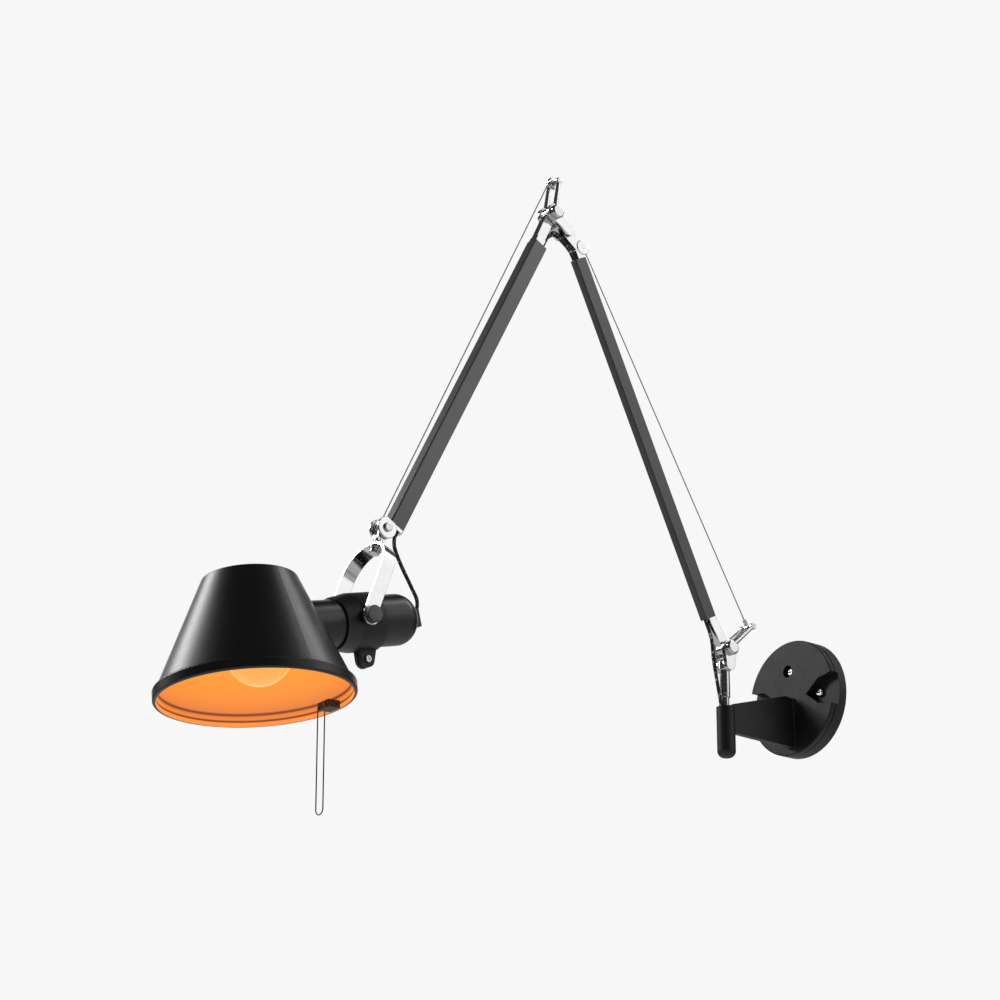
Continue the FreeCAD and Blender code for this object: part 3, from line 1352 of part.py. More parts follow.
def make_head():
    at_tilt = Frame(tilt.y, tilt.z, yoke_lean)
    save(yoke_frame.put(make_head_link()), "head_link")
    save(yoke_frame.put(make_yoke()), "yoke")
    save(yoke_frame.put(make_yoke_nut()), "yoke_nut")
    save(at_tilt.put(make_knob_ring()), "knob_ring")
    save(at_tilt.put(make_tilt_knob()), "tilt_knob")
    save(at_tilt.put(make_far_screw()), "tilt_screw")
    save(holder.put(make_dome()), "lampholder_dome")
    save(holder.put(make_band()), "lampholder_band")
    save(holder.put(make_lug_screw()), "band_screw")
    save(holder.put(make_flange()), "lampholder_flange")
    save(make_lamp_socket(), "lamp_socket")
    save(bulb_frame.put(make_bulb_glass()), "bulb_glass")
    save(bulb_frame.put(make_bulb_cap()), "bulb_cap")
    save(holder.put(make_cord_grip()), "cord_grip")
    save(shade.put(make_shade()), "shade")
    save(holder.put(make_shade_collar()), "shade_collar")
    save(shade.put(make_handle_clip()), "handle_clip")
    save(make_wire_loop(), "wire_loop")


# ---------------------------------------------------------------------------
# Power cable, from the spindle's socket to the lampholder
# ---------------------------------------------------------------------------

def make_lower_cable():
    """From the socket's mouth, past the wall joint and up the lower tube to where its leads part."""
    drop_y = -spindle_reach - (spindle_radius + socket_mouth_radius) / 2
    path = rounded_path([
        V(0, drop_y, socket_top - socket_mouth_depth + 1),
        V(0, drop_y, socket_top + 2),
        V(0, drop_y - 9.3, 22),
        lower.point(lower_cable_across, lower_tube_start - 20),
        lower.point(lower_cable_across, lower_tube_end - plug_length),
    ], "lower_power_cable")
    return sweep(path, cable_radius, "lower_power_cable")


def make_elbow_leads():
    """The cable's two leads, side by side from tube to tube past the elbow."""
    leads = []
    for side, reach in ((-1, 0.0), (1, lead_rise)):
        x = side * lead_offset
        path = rounded_path([
            lower.point(lower_cable_across, lower_tube_end - plug_length, x),
            lower.point(lower_cable_across, lower_tube_end + 10, x),
            upper.point(-13.5 + reach, 12.0, x),
            upper.point(upper_cable_across, upper_tube_start - 12, x),
            upper.point(upper_cable_across, upper_tube_start + plug_length, x),
        ], "elbow lead", 9.5)
        leads.append(sweep(path, lead_radius, "elbow_lead"))
    return group(leads)


def head_cable_points():
    return [
        upper.point(upper_cable_across, upper_tube_start + plug_length),
        upper.point(upper_cable_across, upper_tube_end + 12),
        head_hinge + V(0, head_cable_near[0], head_cable_near[1]),
        head_hinge + V(0, head_cable_far[0], head_cable_far[1]),
        holder.point(2.0, grip_middle()),
        holder.point(0.0, dome_end + 12),
    ]


def grip_middle():
    return dome_end - grip_length / 2


def cut_by_planes(solid, spots):
    """Cuts a cord into lengths at points on its path, each with the heading of the cut."""
    lengths = []
    rest = solid
    for spot, heading in spots:
        half = Part.makeBox(600, 600, 600, V(-300, -300, 0))
        half = aim(half, spot, heading)
        lengths.append(rest.cut(half))
        rest = rest.common(half)
    return lengths + [rest]


def make_head_cables():
    """Down the upper tube, past the head hinge and the yoke to the dome, in three lengths."""
    path = rounded_path(head_cable_points(), "head_cable")
    whole = sweep(path, cable_radius, "head_cable")
    spots = []
    for before, after in ((1, 2), (2, 3)):
        start, end = head_cable_points()[before], head_cable_points()[after]
        spots.append(((start + end) * 0.5, (end - start).normalize()))
    return cut_by_planes(whole, spots)


def make_cables():
    save(make_lower_cable(), "lower_power_cable")
    save(make_elbow_leads(), "elbow_leads")
    for name, piece in zip(("upper_power_cable", "yoke_power_cable", "head_power_cable"), make_head_cables()):
        save(piece, name)


make_wall_side()
make_wall_joint()
make_lower_arm()
make_upper_arm()
make_head()
make_cables()
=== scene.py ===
import json
import math

import bmesh
import bpy
from mathutils import Matrix, Vector


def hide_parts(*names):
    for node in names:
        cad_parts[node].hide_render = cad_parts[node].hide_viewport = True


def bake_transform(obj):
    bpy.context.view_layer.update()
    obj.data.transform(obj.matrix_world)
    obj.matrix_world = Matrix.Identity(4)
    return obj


MM = 0.001

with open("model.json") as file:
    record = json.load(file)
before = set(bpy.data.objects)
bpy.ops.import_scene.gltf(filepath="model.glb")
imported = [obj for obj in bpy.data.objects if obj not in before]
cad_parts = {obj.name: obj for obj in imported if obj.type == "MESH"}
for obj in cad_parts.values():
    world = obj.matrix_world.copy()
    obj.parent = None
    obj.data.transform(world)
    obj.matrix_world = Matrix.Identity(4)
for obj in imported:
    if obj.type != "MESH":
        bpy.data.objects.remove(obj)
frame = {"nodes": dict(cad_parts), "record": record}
scene = bpy.context.scene
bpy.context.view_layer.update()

# ---------------------------------------------------------------------------
# Places of the lamp's joints, in millimetres and degrees, as in the part's source
# ---------------------------------------------------------------------------

SPINDLE_REACH = 112.5
SHOULDER_HEIGHT = 33.8
LOWER_LEAN = 26.24
LOWER_TUBE_START = 35.3
LOWER_TUBE_END = 420.6
LOWER_CABLE_ACROSS = -10.9
ELBOW_ALONG = 471.3
ELBOW_ACROSS = -22.8
UPPER_LEAN = 152.15
UPPER_TUBE_START = 42.2
UPPER_TUBE_END = 421.6
UPPER_CABLE_ACROSS = -8.3
HEAD_HINGE_ALONG = 430.3
HEAD_HINGE_ACROSS = 5.9
YOKE_LEAN = 159.36
YOKE_REACH = 104.4
HOLDER_LEAN = 104.0
SHADE_LEAN = 2.4
SHADE_ROLL = 3.95
SHADE_FOOT_OUT = 104.54
SHADE_FOOT_DOWN = 90.25
PLUG_LENGTH = 26.0
SOCKET_TOP = -25.8
CABLE_RADIUS = 1.8
LEAD_RADIUS = 1.5
LEAD_OFFSET = 1.56
LEAD_RISE = 4.0
STEEL_RADIUS = 0.6
GRIP_MIDDLE = -77.0
DOME_END = -73.0

# Power cable: beside the spindle, over the wall joint, past the head hinge and the yoke
CABLE_FROM_SPINDLE = 6.15
CABLE_IN_SOCKET = 9
CABLE_OVER_SOCKET = 2
SHOULDER_BEND_OUT = 9.3
SHOULDER_BEND_HEIGHT = 22
CABLE_BELOW_TUBE = 20
HEAD_CABLE_NEAR = Vector((0, -527.5, 40.5))
HEAD_CABLE_FAR = Vector((0, -504.5, 6.0))
CABLE_PAST_TUBE = 12
GRIP_CABLE_ACROSS = 2.0
CABLE_IN_DOME = 12
LEADS_PAST_TUBE = 10
ELBOW_BEND = (-13.5, 12.0)
LEAD_TRIM = 9.5

# Steel cables: horns, guides and spring stops, as (across, along) in the frame of their arm
WALL_HORN_TIP = (34.0, 29.6)
FERRULE_REACH = 9.1
LOWER_GUIDE = (1.9, 430.6)
LOWER_TRACK = 5.0
LOWER_STOP = (-3.1, LOWER_TUBE_START + PLUG_LENGTH + 124.55)
ELBOW_HORN = (12.0, -35.6)
ELBOW_HORN_TRACK = 5.5
UPPER_GUIDE = (HEAD_HINGE_ACROSS, HEAD_HINGE_ALONG)
UPPER_TRACK = 5.1
UPPER_STOP = (-0.6, UPPER_TUBE_START + PLUG_LENGTH + 134.85)

# How finely the cords are drawn: sides of each tube, and millimetres between its rings
POWER_SIDES = 20
LEAD_SIDES = 16
STEEL_SIDES = 12
STRAIGHT_STEP = 4
BEND_STEP = 2
STEEL_STEP = 8
ARC_STEP = 1.5
GUIDE_ARC_STEPS = 16
HORN_ARC_STEPS = 10


class Frame:
    """A frame in the plane x = 0, with its z axis leaning from straight up towards the room."""

    def __init__(self, y, z, lean):
        self.origin = Vector((0, y, z))
        self.turn = Matrix.Rotation(math.radians(lean), 3, "X")

    def point(self, across, along, x=0.0):
        return self.origin + self.turn @ Vector((x, across, along))

    def axis(self):
        return self.turn @ Vector((0, 0, 1))

    def roll(self, about, angle):
        """Turns this frame about the z axis of another."""
        spin = Matrix.Rotation(math.radians(angle), 3, about.axis())
        self.origin = about.origin + spin @ (self.origin - about.origin)
        self.turn = spin @ self.turn


shoulder = Frame(-SPINDLE_REACH, SHOULDER_HEIGHT, 0)
lower = Frame(-SPINDLE_REACH, SHOULDER_HEIGHT, LOWER_LEAN)
elbow = lower.point(ELBOW_ACROSS, ELBOW_ALONG)
upper = Frame(elbow.y, elbow.z, UPPER_LEAN)
head_hinge = upper.point(HEAD_HINGE_ACROSS, HEAD_HINGE_ALONG)
yoke_frame = Frame(head_hinge.y, head_hinge.z, YOKE_LEAN)
tilt = yoke_frame.point(0, YOKE_REACH)
holder = Frame(tilt.y, tilt.z, HOLDER_LEAN)
shade_frame = Frame(tilt.y - SHADE_FOOT_OUT, tilt.z - SHADE_FOOT_DOWN, SHADE_LEAN)
shade_frame.roll(holder, SHADE_ROLL)


# ---------------------------------------------------------------------------
# Procedural materials
# ---------------------------------------------------------------------------

EDGE = 0.0004
CAST_EDGE = 0.0006
TUBE_EDGE = 0.0005
BEVEL_SAMPLES = 6
TUBE_ROUGH = (0.3, 0.38)
DRAWING_SCALE = (900, 900, 6)
SWELL_SCALE = 160
CAST_SWELL_SCALE = 120
CAST_SWELL_HEIGHT = 0.00005
BRAID_PITCH = 700.0
BRAID_THREADS = 8.0
FLECK_SCALE = (9, 420, 1)
STRAND_PITCH = 320.0
STRAND_COUNT = 6.0


class Nodes:
    """Short ways to add and join shader nodes."""

    def __init__(self, name):
        self.material = bpy.data.materials.new(name)
        self.material.use_nodes = True
        self.tree = self.material.node_tree
        self.tree.nodes.clear()
        self.output = self.add("ShaderNodeOutputMaterial")
        self.shader = self.add("ShaderNodeBsdfPrincipled")
        self.join(self.shader, "BSDF", self.output, "Surface")
        self.place = self.add("ShaderNodeTexCoord")

    def add(self, kind, **values):
        node = self.tree.nodes.new(kind)
        for key, value in values.items():
            setattr(node, key, value)
        return node

    def join(self, source, output, target, name):
        self.tree.links.new(source.outputs[output], target.inputs[name])

    def scaled(self, scale, coordinate="Object", turn=(0, 0, 0)):
        node = self.add("ShaderNodeMapping")
        node.inputs["Scale"].default_value = scale
        node.inputs["Rotation"].default_value = turn
        self.join(self.place, coordinate, node, "Vector")
        return node

    def noise(self, vector, scale, detail=3.0, roughness=0.5):
        node = self.add("ShaderNodeTexNoise")
        node.inputs["Scale"].default_value = scale
        node.inputs["Detail"].default_value = detail
        node.inputs["Roughness"].default_value = roughness
        self.join(vector, "Vector", node, "Vector")
        return node

    def ramp(self, source, output, stops):
        node = self.add("ShaderNodeValToRGB")
        elements = node.color_ramp.elements
        while len(elements) < len(stops):
            elements.new(0.5)
        for element, (position, color) in zip(elements, stops):
            element.position = position
            element.color = (*color, 1.0)
        self.join(source, output, node, "Fac")
        return node

    def spread(self, source, output, low, high):
        """A value between 0 and 1 spread from low to high."""
        node = self.add("ShaderNodeMapRange")
        node.inputs["To Min"].default_value = low
        node.inputs["To Max"].default_value = high
        self.join(source, output, node, "Value")
        return node

    def bump(self, source, output, strength, distance, edge=0.0):
        node = self.add("ShaderNodeBump")
        node.inputs["Strength"].default_value = strength
        node.inputs["Distance"].default_value = distance
        self.join(source, output, node, "Height")
        if edge:
            bevel = self.add("ShaderNodeBevel", samples=BEVEL_SAMPLES)
            bevel.inputs["Radius"].default_value = edge
            self.join(bevel, "Normal", node, "Normal")
        self.join(node, "Normal", self.shader, "Normal")

    def set(self, **values):
        for key, value in values.items():
            self.shader.inputs[key.replace("_", " ")].default_value = value


def grey(value):
    return (value, value, value)


def slanted_wave(n, split, pitch, threads):
    """Ridges that wind round a cord, from its u and v coordinates."""
    slant = n.add("ShaderNodeMath", operation="MULTIPLY_ADD")
    slant.inputs[1].default_value = pitch
    n.join(split, "Y", slant, 0)
    turns = n.add("ShaderNodeMath", operation="MULTIPLY")
    turns.inputs[1].default_value = threads
    n.join(split, "X", turns, 0)
    n.join(turns, "Value", slant, 2)
    wave = n.add("ShaderNodeMath", operation="PINGPONG")
    wave.inputs[1].default_value = 0.5
    n.join(slant, "Value", wave, 0)
    return wave


def painted(name, tones, rough, grain, level=0.5):
    """Painted or plastic surface: slight mottling, uneven gloss and a grain of one scale and height."""
    dark, light = tones
    grain_scale, grain_height = grain
    n = Nodes(name)
    place = n.scaled((1, 1, 1))
    cloud = n.noise(place, scale=35, detail=4)
    color = n.ramp(cloud, "Fac", [(0.3, dark), (0.7, light)])
    n.join(color, "Color", n.shader, "Base Color")
    wear = n.noise(place, scale=90, detail=5, roughness=0.6)
    gloss = n.spread(wear, "Fac", *rough)
    n.join(gloss, "Result", n.shader, "Roughness")
    bumps = n.noise(place, scale=grain_scale, detail=3, roughness=0.6)
    n.bump(bumps, "Fac", strength=0.5, distance=grain_height, edge=EDGE)
    n.set(Specular_IOR_Level=level)
    return n.material


def metal(name, tint, rough, swell_height, edge=EDGE, swell_scale=SWELL_SCALE):
    """Bare metal with a faint unevenness and smudges in its gloss."""
    n = Nodes(name)
    place = n.scaled((1, 1, 1))
    cloud = n.noise(place, scale=60, detail=3)
    low = tuple(c * 0.93 for c in tint)
    color = n.ramp(cloud, "Fac", [(0.25, low), (0.75, tint)])
    n.join(color, "Color", n.shader, "Base Color")
    smudge = n.noise(place, scale=220, detail=5, roughness=0.65)
    gloss = n.spread(smudge, "Fac", *rough)
    n.join(gloss, "Result", n.shader, "Roughness")
    swell = n.noise(place, scale=swell_scale, detail=2)
    n.bump(swell, "Fac", strength=0.4, distance=swell_height, edge=edge)
    n.set(Metallic=1.0)
    return n.material


def drawn_tube(name, frame_axis, base, level):
    """Anodised tube with fine drawing lines along its length."""
    n = Nodes(name)
    angle = math.atan2(frame_axis.y, frame_axis.z)
    turned = n.scaled((1, 1, 1), turn=(angle, 0, 0))
    stretch = n.add("ShaderNodeMapping")
    stretch.inputs["Scale"].default_value = DRAWING_SCALE
    n.join(turned, "Vector", stretch, "Vector")
    lines = n.noise(stretch, scale=1.0, detail=3, roughness=0.6)
    cloud = n.noise(turned, scale=25, detail=3)
    color = n.ramp(cloud, "Fac", [(0.3, grey(base * 0.8)), (0.7, grey(base * 1.2))])
    n.join(color, "Color", n.shader, "Base Color")
    gloss = n.spread(lines, "Fac", *TUBE_ROUGH)
    n.join(gloss, "Result", n.shader, "Roughness")
    n.bump(lines, "Fac", strength=0.25, distance=0.00004, edge=TUBE_EDGE)
    n.set(Specular_IOR_Level=level)
    return n.material


def braided(name):
    """Woven cable sleeve, from the cord's own u (round) and v (along) coordinates."""
    n = Nodes(name)
    place = n.scaled((1, 1, 1), "UV")
    split = n.add("ShaderNodeSeparateXYZ")
    n.join(place, "Vector", split, "Vector")
    weave = n.add("ShaderNodeMath", operation="ADD")
    for entry, sense in enumerate((1, -1)):
        wave = slanted_wave(n, split, sense * BRAID_PITCH, BRAID_THREADS)
        n.join(wave, "Value", weave, entry)
    flecks = n.add("ShaderNodeTexVoronoi")
    flecks.inputs["Scale"].default_value = 1.0
    stretched = n.scaled(FLECK_SCALE, "UV")
    n.join(stretched, "Vector", flecks, "Vector")
    tint = n.ramp(flecks, "Color", [(0.0, grey(0.012)), (0.74, grey(0.016)), (0.8, grey(0.5))])
    n.join(tint, "Color", n.shader, "Base Color")
    rough = n.spread(weave, "Value", low=0.75, high=0.5)
    n.join(rough, "Result", n.shader, "Roughness")
    n.bump(weave, "Value", strength=0.7, distance=0.00025)
    n.set(Specular_IOR_Level=0.3)
    return n.material


def stranded(name):
    """Twisted steel cable, from the cord's own coordinates, with painted shade that darkens the grooves
    between its strands.
    """
    n = Nodes(name)
    place = n.scaled((1, 1, 1), "UV")
    split = n.add("ShaderNodeSeparateXYZ")
    n.join(place, "Vector", split, "Vector")
    wave = slanted_wave(n, split, STRAND_PITCH, STRAND_COUNT)
    # Painted shade: the strands' colour darkens towards the grooves between them
    tint = n.ramp(wave, "Value", [(0.0, grey(0.1)), (0.35, grey(0.42))])
    n.join(tint, "Color", n.shader, "Base Color")
    rough = n.spread(wave, "Value", low=0.5, high=0.3)
    n.join(rough, "Result", n.shader, "Roughness")
    n.bump(wave, "Value", strength=0.8, distance=0.0002)
    n.set(Metallic=1.0)
    return n.material


# The lining's painted light by its height over the lip: two painted shade lines at the steps, and a glow that
# is brighter towards the bulb
LINING_HEIGHT = 0.1
LINING_PAINTED_LIGHT_AND_SHADE = [
    (0.0, (0.85, 0.28, 0.075)),
    (0.035, (0.9, 0.29, 0.07)),
    # painted shade: a dark line at the lip's lower step
    (0.045, (0.1, 0.03, 0.012)),
    (0.055, (0.1, 0.03, 0.012)),
    (0.065, (0.8, 0.23, 0.05)),
    (0.092, (0.74, 0.2, 0.04)),
    # painted shade: a dark line at the step between lip and cone
    (0.1, (0.1, 0.03, 0.012)),
    (0.112, (0.12, 0.035, 0.014)),
    (0.125, (0.72, 0.2, 0.04)),
    (0.25, (0.9, 0.27, 0.035)),
    (0.5, (1.0, 0.34, 0.03)),
    (1.0, (1.0, 0.46, 0.05)),
]
INWARD_LIMIT = -0.003
DOWNWARD_LIMIT = -0.7
ROOF_HEIGHT = 0.004
BULB_GLOW = [
    (0.0, (1.0, 0.4, 0.06)),
    (0.5, (1.0, 0.42, 0.08)),
    (0.68, (1.0, 0.62, 0.24)),
    (0.82, (0.5, 0.16, 0.03)),
]
BULB_STRENGTH = 0.92


def shade_paint(name):
    """Black paint outside, and inside a warm lining with painted light: it glows as if lit by the bulb, with
    painted shade lines at the lip's steps.
    """
    n = Nodes(name)
    place = n.scaled((1, 1, 1))
    axis = shade_frame.axis()
    foot = shade_frame.point(0, 0) * MM
    offset = n.add("ShaderNodeVectorMath", operation="SUBTRACT")
    offset.inputs[1].default_value = foot
    n.join(place, "Vector", offset, 0)
    along = n.add("ShaderNodeVectorMath", operation="DOT_PRODUCT")
    along.inputs[1].default_value = axis
    n.join(offset, "Vector", along, 0)
    lift = n.add("ShaderNodeVectorMath", operation="SCALE")
    lift.inputs[0].default_value = axis
    n.join(along, "Value", lift, "Scale")
    radial = n.add("ShaderNodeVectorMath", operation="SUBTRACT")
    n.join(offset, "Vector", radial, 0)
    n.join(lift, "Vector", radial, 1)
    facing = n.add("ShaderNodeVectorMath", operation="DOT_PRODUCT")
    n.join(radial, "Vector", facing, 0)
    n.join(n.place, "Normal", facing, 1)
    inward = n.add("ShaderNodeMath", operation="LESS_THAN")
    inward.inputs[1].default_value = INWARD_LIMIT
    n.join(facing, "Value", inward, 0)
    down = n.add("ShaderNodeVectorMath", operation="DOT_PRODUCT")
    down.inputs[1].default_value = axis
    n.join(n.place, "Normal", down, 0)
    is_down = n.add("ShaderNodeMath", operation="LESS_THAN")
    is_down.inputs[1].default_value = DOWNWARD_LIMIT
    n.join(down, "Value", is_down, 0)
    high = n.add("ShaderNodeMath", operation="GREATER_THAN")
    high.inputs[1].default_value = ROOF_HEIGHT
    n.join(along, "Value", high, 0)
    roof = n.add("ShaderNodeMath", operation="MULTIPLY")
    n.join(is_down, "Value", roof, 0)
    n.join(high, "Value", roof, 1)
    inner = n.add("ShaderNodeMath", operation="MAXIMUM")
    n.join(inward, "Value", inner, 0)
    n.join(roof, "Value", inner, 1)

    cloud = n.noise(place, scale=30, detail=4)
    black = n.ramp(cloud, "Fac", [(0.3, grey(0.003)), (0.7, grey(0.005))])
    lining = n.ramp(cloud, "Fac", [(0.3, (0.14, 0.05, 0.01)), (0.7, (0.17, 0.06, 0.013))])
    mix = n.add("ShaderNodeMix", data_type="RGBA")
    n.join(inner, "Value", mix, "Factor")
    n.tree.links.new(black.outputs["Color"], mix.inputs[6])
    n.tree.links.new(lining.outputs["Color"], mix.inputs[7])
    n.tree.links.new(mix.outputs[2], n.shader.inputs["Base Color"])
    wear = n.noise(place, scale=120, detail=5, roughness=0.6)
    rough = n.spread(wear, "Fac", low=0.3, high=0.38)
    n.join(rough, "Result", n.shader, "Roughness")
    grain = n.noise(place, scale=1800, detail=2)
    n.bump(grain, "Fac", strength=0.25, distance=0.00002)
    height = n.spread(along, "Value", low=0.0, high=1.0)
    height.inputs["From Max"].default_value = LINING_HEIGHT
    # Painted light: the inside's emission stands in for the bulb's light falling on the lining, with painted
    # shade lines at the lip's steps
    warm = n.ramp(height, "Result", LINING_PAINTED_LIGHT_AND_SHADE)
    n.join(warm, "Color", n.shader, "Emission Color")
    # Painted light: only the inside surfaces glow
    n.join(inner, "Value", n.shader, "Emission Strength")
    n.set(Specular_IOR_Level=0.5)
    return n.material


def glowing_glass(name):
    """Bulb glass lit from inside, with a paler ring before its dark edge."""
    n = Nodes(name)
    place = n.scaled((1, 1, 1))
    haze = n.noise(place, scale=50, detail=3)
    rough = n.spread(haze, "Fac", low=0.05, high=0.12)
    n.join(rough, "Result", n.shader, "Roughness")
    weight = n.add("ShaderNodeLayerWeight")
    weight.inputs["Blend"].default_value = 0.35
    warm = n.ramp(weight, "Facing", BULB_GLOW)
    n.join(warm, "Color", n.shader, "Emission Color")
    n.set(Base_Color=(0.2, 0.1, 0.04, 1.0), Emission_Strength=BULB_STRENGTH)
    return n.material


def cast_metal(name, tint, rough):
    return metal(name, tint, rough, CAST_SWELL_HEIGHT, CAST_EDGE, CAST_SWELL_SCALE)


def greys(dark, light):
    return grey(dark), grey(light)


CREAM = ((0.74, 0.7, 0.62), (0.8, 0.77, 0.7))

materials = {
    # Painted light: both tubes have the same anodised finish; the upper one gets a lighter tone and stronger
    # gloss than the lower one, for how light falls on them
    "lower_tube": drawn_tube("lower_tube_shaded_finish", lower.axis(), base=0.03, level=0.6),
    "upper_tube": drawn_tube("upper_tube_lit_finish", upper.axis(), base=0.04, level=0.75),
    "satin_black_paint": painted("black_paint", greys(0.003, 0.005), rough=(0.3, 0.38),
                                 grain=(1800, 0.00002)),
    "textured_black_paint": painted("cast_black", greys(0.003, 0.009), rough=(0.4, 0.55),
                                    grain=(1300, 0.00028), level=0.4),
    "polished_aluminium": cast_metal("polished_aluminium", (0.66, 0.66, 0.67), rough=(0.08, 0.2)),
    "chrome": metal("chrome", (0.58, 0.59, 0.6), rough=(0.03, 0.09), swell_height=0.00002),
    "steel": metal("steel", (0.62, 0.61, 0.6), rough=(0.18, 0.34), swell_height=0.00005),
    "spring_steel": metal("spring_steel", (0.4, 0.4, 0.4), rough=(0.3, 0.45), swell_height=0.00005),
    "zinc_plate": metal("zinc_plate", (0.6, 0.6, 0.56), rough=(0.35, 0.55), swell_height=0.0001),
    "brass": metal("nickel_on_brass", (0.66, 0.63, 0.57), rough=(0.18, 0.32), swell_height=0.00005),
    "clear_glass": glowing_glass("lit_glass"),
    "grey_plastic": painted("grey_plastic", greys(0.05, 0.1), rough=(0.4, 0.55), grain=(1500, 0.0002)),
    "white_nylon": painted("white_nylon", greys(0.68, 0.74), rough=(0.4, 0.5), grain=(900, 0.00004)),
    "black_plastic": painted("black_plastic", greys(0.015, 0.022), rough=(0.4, 0.55), grain=(2000, 0.00004)),
    "black_cable": braided("woven_sleeve"),
    "glazed_ceramic": painted("glazed_ceramic", CREAM, rough=(0.1, 0.2), grain=(300, 0.00004)),
    "shade": shade_paint("shade_paint"),
    "steel_cable": stranded("twisted_cable"),
    "wire": metal("loop_wire", grey(0.13), rough=(0.28, 0.4), swell_height=0.00002, edge=0.0),
}

slots = {entry["node"]: entry["material_slot"] for entry in frame["record"]["subparts"]}


# ---------------------------------------------------------------------------
# CAD nodes: each keeps its place, and gets its finish
# ---------------------------------------------------------------------------

SPECIAL = {
    "shade": "shade",
    "lower_tube": "lower_tube",
    "upper_tube": "upper_tube",
    "wire_loop": "wire",
    "cord_grip": "black_plastic",
}


def dress(node, material):
    obj = frame["nodes"][node]
    obj.data.materials.clear()
    obj.data.materials.append(material)


for node in frame["nodes"]:
    dress(node, materials[SPECIAL.get(node, slots[node])])


# ---------------------------------------------------------------------------
# Cords: power cable and steel cables, as tubes along their routes
# ---------------------------------------------------------------------------

def rounded_route(points, most=1000.0):
    """Straight runs joined by tangent arcs, as a list of points in millimetres."""
    route = [points[0]]
    for before, corner, after in zip(points, points[1:], points[2:]):
        way_in = (corner - before).normalized()
        way_out = (after - corner).normalized()
        turn = way_in.angle(way_out)
        trim = min(most, 0.48 * min((corner - before).length, (after - corner).length))
        radius = trim / math.tan(turn / 2)
        inward = (way_out - way_in).normalized()
        centre = corner + inward * (radius / math.cos(turn / 2))
        start = corner - way_in * trim
        steps = max(4, round(turn * radius / ARC_STEP))
        axis = way_in.cross(way_out).normalized()
        for step in range(steps + 1):
            spin = Matrix.Rotation(turn * step / steps, 3, axis)
            route.append(centre + spin @ (start - centre))
    route.append(points[-1])
    return route


def finely(route, step):
    """The same route with no two points further apart than the step."""
    fine = [route[0]]
    for before, after in zip(route, route[1:]):
        count = max(1, math.ceil((after - before).length / step))
        for part in range(1, count + 1):
            fine.append(before.lerp(after, part / count))
    return fine


def tube_mesh(name, route, radius, sides, material):
    """A closed round tube along a route in millimetres, with u round it and v along it in metres."""
    mesh = bpy.data.meshes.new(name)
    bm = bmesh.new()
    uv = bm.loops.layers.uv.new("route")
    heading = (route[1] - route[0]).normalized()
    side = heading.cross(Vector((1, 0, 0))).normalized()
    rings = []
    travelled = []
    length = 0.0
    for index, spot in enumerate(route):
        if index:
            length += (spot - route[index - 1]).length
        ahead = route[min(index + 1, len(route) - 1)] - route[max(index - 1, 0)]
        turn = heading.rotation_difference(ahead.normalized())
        side = turn @ side
        heading = ahead.normalized()
        across = heading.cross(side)
        ring = []
        for step in range(sides):
            angle = 2 * math.pi * step / sides
            offset = side * math.cos(angle) + across * math.sin(angle)
            ring.append(bm.verts.new((spot + offset * radius) * MM))
        rings.append(ring)
        travelled.append(length * MM)
    for index in range(len(rings) - 1):
        for step in range(sides):
            after = (step + 1) % sides
            face = bm.faces.new((rings[index][step], rings[index][after],
                                 rings[index + 1][after], rings[index + 1][step]))
            face.smooth = True
            spans = ((step, index), (step + 1, index), (step + 1, index + 1), (step, index + 1))
            for loop, (u, v) in zip(face.loops, spans):
                loop[uv].uv = (u / sides, travelled[v])
    bm.faces.new(list(reversed(rings[0])))
    bm.faces.new(rings[-1])
    bmesh.ops.recalc_face_normals(bm, faces=bm.faces)
    bm.to_mesh(mesh)
    bm.free()
    obj = bpy.data.objects.new(name, mesh)
    scene.collection.objects.link(obj)
    mesh.materials.append(material)
    return obj


def tangent_angle(spot, centre, radius, side):
    """The angle at which a line from the spot touches the circle, all in one frame's (across, along)."""
    dy = spot[0] - centre[0]
    dz = spot[1] - centre[1]
    return math.atan2(dz, dy) + side * math.acos(radius / math.hypot(dy, dz))


def arc_points(place, centre, radius, first, last, steps):
    """Points on an arc about a centre given as (across, along) in the frame."""
    points = []
    for step in range(steps + 1):
        angle = first + (last - first) * step / steps
        points.append(place.point(centre[0] + radius * math.cos(angle), centre[1] + radius * math.sin(angle)))
    return points


def power_routes():
    """Routes of the power cable from the socket up the lower arm, and down the upper arm to the dome."""
    drop_y = -SPINDLE_REACH - CABLE_FROM_SPINDLE
    lower_route = rounded_route([
        Vector((0, drop_y, SOCKET_TOP - CABLE_IN_SOCKET)),
        Vector((0, drop_y, SOCKET_TOP + CABLE_OVER_SOCKET)),
        Vector((0, drop_y - SHOULDER_BEND_OUT, SHOULDER_BEND_HEIGHT)),
        lower.point(LOWER_CABLE_ACROSS, LOWER_TUBE_START - CABLE_BELOW_TUBE),
        lower.point(LOWER_CABLE_ACROSS, LOWER_TUBE_END - PLUG_LENGTH),
    ])
    head_route = rounded_route([
        upper.point(UPPER_CABLE_ACROSS, UPPER_TUBE_START + PLUG_LENGTH),
        upper.point(UPPER_CABLE_ACROSS, UPPER_TUBE_END + CABLE_PAST_TUBE),
        HEAD_CABLE_NEAR,
        HEAD_CABLE_FAR,
        holder.point(GRIP_CABLE_ACROSS, GRIP_MIDDLE),
        holder.point(0.0, DOME_END + CABLE_IN_DOME),
    ])
    return lower_route, head_route


def split_route(route, spots):
    """Cuts a route into lengths at the points nearest to the spots."""
    cuts = [0]
    for spot in spots:
        cuts.append(min(range(len(route)), key=lambda i: (route[i] - spot).length))
    cuts.append(len(route) - 1)
    return [route[a:b + 1] for a, b in zip(cuts, cuts[1:])]


